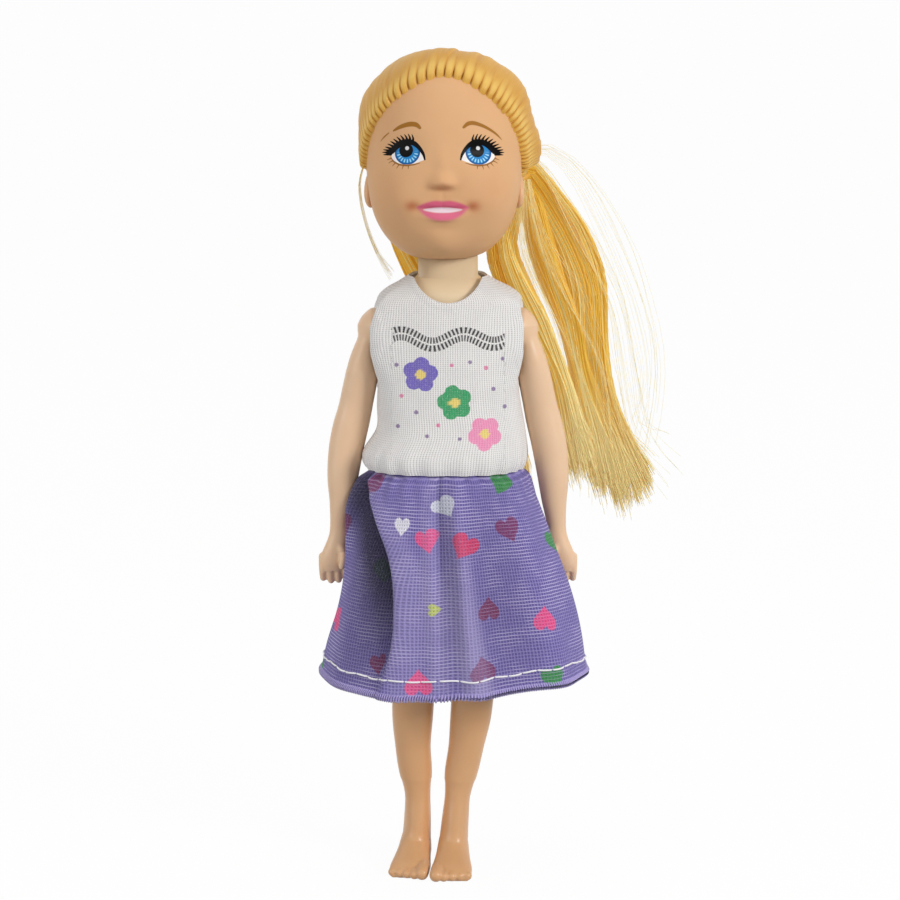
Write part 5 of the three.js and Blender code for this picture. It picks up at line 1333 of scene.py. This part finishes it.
skirt = {
    "thick": 0.45, "power": 2.2, "step": 0.75,
    "seam": (2.7, 3.3, 2.9), "hem": (11.6, 11.2, 8.6), "shift": 1.1, "drop": 34.0, "frontDrop": 1.6,
    "rowShapes": [(0, 0, 0), (0.09, 0.12, 0), (0.21, 0.25, 0.15), (0.35, 0.39, 0.4), (0.5, 0.55, 0.6),
                  (0.68, 0.72, 0.75), (0.85, 0.88, 0.9), (1, 1, 1)],
    "split": 0.4835, "under": 0.045, "rows": 150, "cols": 300,
    "stitchRise": 3.0, "thread": 0.16, "topRise": 1.0, "topIn": 1.9, "rollOut": 0.25,
    "overhang": (0.012, 0.016, 0.012, 0.0), "overhangWide": 0.014,
    # how deep each hand presses the cloth in, its half width in turns, and its place below the hip joint
    # and half height in millimetres
    "handPress": 3.0, "handWide": 0.038, "handDown": 2.5, "handTall": 8.5,
    # where the hem hangs lower in front: middle and half width in turns
    "dip": (0.43, 0.13),
    # how far the two panels' edges sink under each other at the top, and the share of it lost at the hem
    "tuckDeep": 1.0, "tuckLoss": (0.75, 0.72),
    # how much a millimetre of each numbered fold darkens its valley with painted shade or lightens its ridge
    # with painted highlight, and how far this reaches past the fold
    "paintedFoldShade": {2: (0.27, 1.75), 6: (0.45, 1.2), 8: (0.17, 1.2)},
    "paintedRidgeLight": {3: (0.4, 1.2), 5: (0.35, 1.2), 7: (0.45, 1.4)},
    # the girth that the print's UV is drawn on, stitches and overlock turns in one turn round, and the
    # pitch of the cloth's threads both ways
    "girth": 108.0, "stitches": 52, "overlock": 330, "weft": 0.56, "warp": 0.46,
}
# each fold at four shares of the drop: its place in turns round the skirt (a straight one has one place),
# its height in millimetres, and its width in turns to either side
folds = [
    {"at": (0.262, 0.265, 0.262, 0.26), "rise": (0.4, 0.9, 0.4, 0.2), "wide": (0.025, 0.03)},
    {"at": (0.282, 0.287, 0.285, 0.28), "rise": (2.9, 1.4, 0.4, 0.1), "wide": (0.022, 0.018)},
    {"at": (0.305, 0.405, 0.427, 0.405), "rise": (-3.0, -4.4, -2.5, -0.6), "wide": (0.05, 0.006)},
    {"at": (0.320, 0.425, 0.445, 0.435), "rise": (0.2, 0.5, 0.6, 0.4), "wide": (0.012, 0.024)},
    {"at": (0.455, 0.455, 0.46, 0.46), "rise": (0.0, -0.1, -0.5, -0.6), "wide": (0.02, 0.016)},
    {"at": (0.474, 0.474, 0.483, 0.487), "rise": (0.3, 0.6, 0.7, 0.5), "wide": (0.012, 0.01)},
    {"at": (0.492, 0.496, 0.498, 0.5), "rise": (-0.5, -0.9, -0.7, -0.4), "wide": (0.01, 0.012)},
    {"at": (0.5, 0.505, 0.513, 0.524), "rise": (0.0, 0.4, 0.9, 0.9), "wide": (0.012, 0.014)},
    {"at": (0.56, 0.557, 0.56, 0.565), "rise": (-0.2, -1.0, -1.4, -0.9), "wide": (0.03, 0.045)},
    {"at": (0.64, 0.64, 0.635, 0.635), "rise": (0.2, 0.5, 0.8, 0.8), "wide": (0.03, 0.03)},
    {"at": (0.705, 0.705, 0.70, 0.70), "rise": (-0.6, 1.3, 2.0, 0.4), "wide": (0.04, 0.03)},
    {"at": 0.81, "rise": (-0.4, -0.8, -0.9, -1.0), "wide": (0.03, 0.03)},
    {"at": 0.87, "rise": (0.4, 0.5, 0.6, 0.7), "wide": (0.03, 0.03)},
    {"at": 0.21, "rise": (-0.2, -0.4, -0.6, -0.9), "wide": (0.03, 0.03)},
    {"at": 0.14, "rise": (0.4, 0.5, 0.7, 0.8), "wide": (0.03, 0.03)},
    {"at": 0.07, "rise": (-0.3, -0.6, -0.7, -0.8), "wide": (0.02, 0.025)},
]
deepPleat = 2  # its row in the list of folds


def foldBell(fold, u, v, power=2, widen=1.0):
    # the height of one fold at u and v: a bell whose place and height run along the drop
    rise = np.array(fold["rise"])
    rows = [np.linspace(0, 1, len(rise)), np.broadcast_to(fold["at"], len(rise)), rise]
    at, rise = between(np.column_stack(rows), v)
    wide = np.where(u < at, *fold["wide"]) * widen
    return rise * ramp(v, -0.01, 0.04) * np.exp(-np.abs((u - at) / wide) ** power)


def skirtRelief(u, v):
    # folds as bells of unequal sides, gathers under the seam, small creases, and the rolled lower edge
    swell = 0.13 * ripple(u * 60, v * 9, 41, 7) * ramp(v, 0, 0.3) + 0.16 * ripple(u * 24, v * 5, 43, 6)
    swell += 0.2 * np.sin(2 * np.pi * u * 34 + 2 * np.sin(9 * u)) * np.exp(-(v / 0.1) ** 2)
    swell += sum(foldBell(fold, u, v) for fold in folds)
    return swell + skirt["rollOut"] * np.exp(-((v - 0.985) / 0.012) ** 2)


def skirtPoints(u, v, out=0.0):
    # an oval that flares to the hem, pressed in beside each hand; its top edge turns in under the bodice
    flare, shift = between(skirt["rowShapes"], v)
    swell = skirtRelief(u, v) + out
    dipAt, dipWide = skirt["dip"]
    frontness = np.exp(-((u - dipAt) / dipWide) ** 2)
    z = waist["rise"] - 0.3 - v * (skirt["drop"] + skirt["frontDrop"] * frontness)
    beside = np.minimum(np.abs(u - 0.25), np.abs(u - 0.75)) / skirt["handWide"]
    swell -= skirt["handPress"] * np.exp(-beside**2 - ((z + skirt["handDown"]) / skirt["handTall"]) ** 2)
    z = z + skirt["topRise"] * np.exp(-(v / 0.016) ** 2)
    swell -= skirt["topIn"] * np.exp(-(v / 0.02) ** 2)
    wide, front, back = (size + seam + (hem - seam) * flare + swell for size, seam, hem in
                         zip(chest.values(), skirt["seam"], skirt["hem"]))
    # the middle panel leans over the deep pleat beside it
    shares = np.linspace(0, 1, len(skirt["overhang"]))
    at, lean = between(np.column_stack([shares, folds[deepPleat]["at"], skirt["overhang"]]), v)
    around = u - lean * np.exp(-((u - at - 0.5 * skirt["overhangWide"]) / skirt["overhangWide"]) ** 2)
    p = lapped(around, wide, front, back, z + hipZ, skirt["power"], skirt["step"])
    p[..., 0] += skirt["shift"] * shift
    return p


# hearts: turns round the skirt, share of the drop, turn in degrees, width in mm, colour
hearts = [
    (0.470, 0.28, 15, 3.9, "#F0508C"), (0.518, 0.31, -32, 4.2, "#DB3062"), (0.597, 0.25, 14, 4.2, "#7C2A62"),
    (0.600, 0.03, -30, 4.2, "#2B8C35"), (0.494, 0.13, 30, 3.4, "#DDE0EC"), (0.546, 0.60, 178, 3.9, "#7E2858"),
    (0.625, 0.67, 172, 4.2, "#F0508C"), (0.695, 0.34, 10, 4.3, "#2B8C35"), (0.481, 0.585, 90, 2.0, "#C9D63C"),
    (0.428, 0.22, 0, 3.0, "#EEECF4"), (0.345, 0.05, -30, 4.0, "#7C2A62"), (0.385, 0.44, 12, 4.4, "#2E7A34"),
    (0.285, 0.27, 25, 4.0, "#7C2A62"), (0.3, 0.70, 150, 4.3, "#F0508C"), (0.462, 0.915, 184, 4.2, "#EE4C88"),
    (0.530, 0.865, 186, 4.2, "#7C2A62"), (0.622, 0.96, 10, 4.2, "#2B8C35"), (0.275, 0.985, 40, 4, "#2B8C35"),
    (0.402, 0.86, 15, 3.4, "#7E2858"), (0.425, 0.60, 15, 2.4, "#C9D63C"), (0.735, 0.90, 20, 4.2, "#DB3062"),
    (0.77, 0.16, -15, 4.1, "#F0508C"), (0.79, 0.55, 30, 4.2, "#7C2A62"), (0.83, 0.84, -20, 4.0, "#EEECF4"),
    (0.845, 0.30, 10, 4.1, "#2B8C35"), (0.89, 0.62, -8, 4.2, "#F0508C"), (0.93, 0.16, 24, 4.0, "#DB3062"),
    (0.95, 0.44, -30, 4.1, "#7C2A62"), (0.965, 0.88, 12, 4.2, "#2B8C35"), (0.19, 0.12, 20, 4.0, "#DB3062"),
    (0.185, 0.50, -12, 4.1, "#EEECF4"), (0.15, 0.80, 16, 4.2, "#7C2A62"), (0.13, 0.30, -25, 4.1, "#F0508C"),
    (0.09, 0.58, 8, 4.2, "#2B8C35"), (0.06, 0.20, 30, 4.0, "#7C2A62"), (0.07, 0.92, -14, 4.2, "#F0508C"),
]
# the weave's colours, with a near black for painted shade in the deep folds and a pale lilac for painted
# highlight on the ridges
lilac = {"ground": "#6B5FA6", "warp": "#8B80BE", "weft": "#BCB2DC", "hole": "#463C7A", "paintedFoldShade": "#1C1730",
         "paintedRidgeLight": "#B9B0D6", "fibre": "#C4B8E4"}


def heartOutline(size):
    # the classic heart from sines of one angle, drawn size wide, slightly plump
    a = np.linspace(0, 2 * np.pi, 44, endpoint=False)
    x = 16 * np.sin(a) ** 3
    z = 13 * np.cos(a) - 5 * np.cos(2 * a) - 2 * np.cos(3 * a) - np.cos(4 * a)
    return np.stack([x, 1.12 * (z + 2)], -1) * size / 32


def makeSkirtHalf(name, low, high, tuck):
    # one half of the skirt, from low to high turns; tuck is how far each column sinks under the pleat
    v, u = np.meshgrid(np.linspace(0, 1, skirt["rows"]), np.linspace(low, high, skirt["cols"]), indexing="ij")
    grid = skirtPoints(u, v, -tuck(u, v))
    points, faces = thickSheet(grid, -skirt["thick"])
    flat = np.stack([u * skirt["girth"], v * (skirt["drop"] + skirt["frontDrop"])], -1).reshape(-1, 2)
    flat = np.concatenate([flat, flat])
    piece = newPiece(name, points, faces, [flat[faces[0]]])
    perTurn = np.linalg.norm(np.diff(grid, axis=1), axis=2).sum(1) / (high - low)
    gap = np.full(u.size, farOff)
    colour = np.tile(rgb(hearts[0][-1]), (u.size, 1))
    for at, down, turn, size, text in hearts:
        across = np.interp(down, v[:, 0], perTurn)
        q = np.stack([(u - at) * across, (v - down) * (skirt["drop"] + 1.0)], -1).reshape(-1, 2)
        near = np.linalg.norm(q, axis=1) < size
        if near.any():
            c, s = math.cos(math.radians(turn)), math.sin(math.radians(turn))
            q = np.stack([q[near, 0] * c - q[near, 1] * s, -(q[near, 0] * s + q[near, 1] * c)], -1)
            distance = areaGap(q, heartOutline(size))
            better = distance < gap[near]
            spots = np.flatnonzero(near)[better]
            gap[spots] = distance[better]
            colour[spots] = rgb(text)
    paint(piece, "heart", np.concatenate([gap, gap + 0.05]))
    paint(piece, "heartColour", np.concatenate([colour, colour]))
    # painted shade in the deep folds' valleys and painted highlight on the ridges, from the folds' heights
    for layer in ("paintedFoldShade", "paintedRidgeLight"):
        share = sum(np.abs(foldBell(folds[k], u, v, 4, wider)) * much
                    for k, (much, wider) in skirt[layer].items())
        share = np.clip(share, 0, 0.9).reshape(-1)
        paint(piece, layer, np.concatenate([share, share]))
    piece.data.set_sharp_from_angle(angle=math.radians(60))
    return piece


def printMaterial():
    # a plain weave seen through its pale cross threads: lines by UV in both ways, hearts printed under them
    material, tree, shader = startMaterial("lilacPrint", Roughness=0.8, Sheen_Weight=0.15)
    uv, alongCloth, upCloth = clothAxes(tree)
    shift = times(tree, noise(tree, uv, 0.5, 2.0), 2.6)
    weft = waves(tree, upCloth, skirt["weft"], shift)
    warp = waves(tree, alongCloth, skirt["warp"], shift)
    patches = spread(tree, noise(tree, uv, 0.22, 3.0), 0.4, 0.64, 0.25, 0.95)
    heart, tone = inside(tree, "heart", 0.1), readPoint(tree, "heartColour", 0)
    ground = layered(tree, lilac["ground"], (times(tree, spread(tree, warp, 0.1, 0.9), 0.8), lilac["warp"]),
                     (times(tree, heart, 0.97), tone))
    pale = layered(tree, lilac["weft"], (times(tree, heart, 0.6), tone))
    # the gaps between the threads are painted dark, as painted shade
    holes = times(tree, spread(tree, weft, -0.3, -0.9), spread(tree, warp, -0.2, -0.9), 0.6)
    colour = layered(tree, ground, (times(tree, spread(tree, weft, 0.35, 0.95), patches), pale),
                     (holes, lilac["hole"]))
    # the ridges are painted lighter as highlight, the hearts show half through it, and the deep folds are
    # painted dark as shade
    paintedRidgeLight = layered(tree, lilac["paintedRidgeLight"], (times(tree, heart, 0.5), colour))
    colour = layered(tree, colour, (readPoint(tree, "paintedRidgeLight"), paintedRidgeLight), (readPoint(tree, "paintedFoldShade"), lilac["paintedFoldShade"]))
    made = useGroup(tree, fuzz, {"Colour": colour, "Fibre": lilac["fibre"], "Amount": 0.18})
    feed(tree, shader, {"Base Color": made["Colour"]})
    height = sums(tree, "MAXIMUM", times(tree, warp, 0.8), weft)
    bumped(tree, shader, sums(tree, "MULTIPLY_ADD", made["Height"], 0.5, height), 0.09, 0.8)
    return material


def threadTube(path, radius, sides=5):
    # a round thread along a path of points
    along = unit(np.gradient(path, axis=0))
    side = unit(np.cross(along, [0.1, 0.3, 1.0]))
    return closedRings(ringsAlong(path, along, side, np.full(len(path), radius), sides))


def makeHemStitch(name, low, high, tuck):
    # running stitches: each rises out of the cloth, lies on it for most of its length and dips back in
    line = 1 - skirt["stitchRise"] / (skirt["drop"] + skirt["frontDrop"])
    count = int(round((high - low) * skirt["stitches"]))
    shells = []
    for k in range(count):
        u = low + (high - low) * np.linspace(k + 0.03, k + 0.97, 13) / count
        v = line + 0.004 * np.sin(37 * u) + 0.004 * np.sin(113 * u)
        out = skirt["thread"] * (2.0 * np.sin(np.linspace(0, np.pi, 13)) ** 0.35 - 1.0)
        shells.append(threadTube(skirtPoints(u, v, out - tuck(u, v)), skirt["thread"]))
    return newPiece(name, *joinShells(shells))


def makeOverlock(name, low, high, tuck):
    # thread wound over the cut edge: it swings up the face of the hem and back round its lower edge
    turns = int(round((high - low) * skirt["overlock"]))
    t = np.linspace(0, 1, turns * 8 + 1)
    u = low + (high - low) * t
    swing = 2 * np.pi * turns * t
    v = 0.988 - 0.017 * np.sin(swing) + 0.002 * np.sin(61 * u)
    out = -0.12 + 0.34 * np.cos(swing + 0.7)
    return newPiece(name, *threadTube(skirtPoints(u, v, out - tuck(u, v)), skirt["thread"], 4))


whiteKnit = knitMaterial()
lilacPrint = printMaterial()
bodicePiece = finished(makeBodice(), whiteKnit, "white_knit", "torso", "bodice")
split, under = skirt["split"], skirt["under"]


def overTuck(u, v):
    # the upper panel ends in a fold: its last millimetre turns in, less so towards the hem
    loss = skirt["tuckLoss"][0] * ramp(v, 0.35, 0.65)
    return ramp(u, split - 0.004, split + 0.006) * skirt["tuckDeep"] * (1 - loss)


def underTuck(u, v):
    # the lower panel runs on beneath the fold
    loss = skirt["tuckLoss"][1] * ramp(v, 0.35, 0.65)
    return ramp(u, split + 0.012, split - 0.004) * skirt["tuckDeep"] * (1 - loss)


halves = {
    "right": makeSkirtHalf("skirt_right", 0.0, split + 0.006, overTuck),
    "left": makeSkirtHalf("skirt_left", split - under, 1.0, underTuck),
}
stitches = {"right": ("hem_thread_right", 0.006, split, overTuck),
            "left": ("hem_thread_left", split + 0.002, 0.99, underTuck)}
for word, half in halves.items():
    first = word == "right"
    finished(half, lilacPrint, "lilac_print", None, *(["skirt"] if first else []))
    name, low, high, tuck = stitches[word]
    thread = finished(makeHemStitch(name, low, high, tuck), whiteThread, "white_thread", None,
                      *(["hem_stitch"] if first else []))
    edge = finished(makeOverlock("overlock_" + word, low, high, tuck), lilacThread, "white_thread")
    for cloth in (half, thread, edge):
        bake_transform(cloth)
print("dress made")


# Floor, light and camera

def seenByEye(tree):
    # 1 for the rays by which the camera sees a surface, straight, mirrored or through
    path = tree.nodes.new("ShaderNodeLightPath").outputs
    return sums(tree, "MAXIMUM", path["Is Camera Ray"], sums(
        tree, "MAXIMUM", path["Is Glossy Ray"], path["Is Transmission Ray"]))


def stageFloor():
    # a wide pale ground that is white to the camera and still takes the doll's shadow
    bpy.ops.mesh.primitive_plane_add(size=80)
    floor = bpy.context.object
    floor.name = "floor"
    material, tree, shader = startMaterial("floorPaper", Roughness=0.9, Base_Color="#B9B9B9")
    glow = addNode(tree, "Emission", {"Color": "#FFFFFF", "Strength": 1.035})
    mixed = addNode(tree, "MixShader", {0: times(tree, seenByEye(tree), 0.93), 1: shader.outputs[0], 2: glow})
    tree.links.new(mixed, tree.nodes["Material Output"].inputs["Surface"])
    floor.data.materials.append(material)


# square lamps that face the middle of the doll: places and widths in metres, and powers
lampTarget = (0, 0, 0.07)
lamps = [
    {"name": "keyLamp", "place": (0.50, -0.42, 0.34), "size": 0.2, "power": 2.85},
    {"name": "fillLamp", "place": (-0.52, -0.26, 0.20), "size": 0.36, "power": 1.0},
    {"name": "topLamp", "place": (-0.04, -0.05, 0.60), "size": 0.35, "power": 0.45},
]


def addLamps():
    # area lamps turned so that their faces look at the target
    for lamp in lamps:
        data = bpy.data.lights.new(lamp["name"], "AREA")
        data.size, data.energy = lamp["size"], lamp["power"]
        made = bpy.data.objects.new(lamp["name"], data)
        bpy.context.scene.collection.objects.link(made)
        made.location = lamp["place"]
        way = Vector(lampTarget) - Vector(lamp["place"])
        made.rotation_euler = way.to_track_quat("-Z", "Y").to_euler()


def skyLight():
    # an even world that lights the doll softly and is white to the camera
    world = bpy.data.worlds.new("studio")
    bpy.context.scene.world = world
    world.use_nodes = True
    tree = world.node_tree
    strength = spread(tree, seenByEye(tree), 0.0, 1.0, 0.42, 1.0, "LINEAR")
    feed(tree, tree.nodes["Background"], {"Color": "#FFFFFF", "Strength": strength})


# the camera's target and distance in millimetres
view = {"target": (0.33, 0.0, 72.0), "distance": 450.0, "elevation": 10.0, "lens": 108.0}


def addCamera():
    # straight in front of the doll and a little above, looking down on the target
    data = bpy.data.cameras.new("camera")
    data.lens, data.sensor_width = view["lens"], 36
    made = bpy.data.objects.new("camera", data)
    bpy.context.scene.collection.objects.link(made)
    rise = math.radians(view["elevation"])
    target = np.array(view["target"]) + dollOrigin
    place = target + view["distance"] * np.array([0, -math.cos(rise), math.sin(rise)])
    made.location = place * mm
    made.rotation_euler = (math.pi / 2 - rise, 0, 0)
    bpy.context.scene.camera = made


stageFloor()
addLamps()
skyLight()
addCamera()
bpy.context.scene.view_settings.view_transform = "Standard"
print("stage ready")
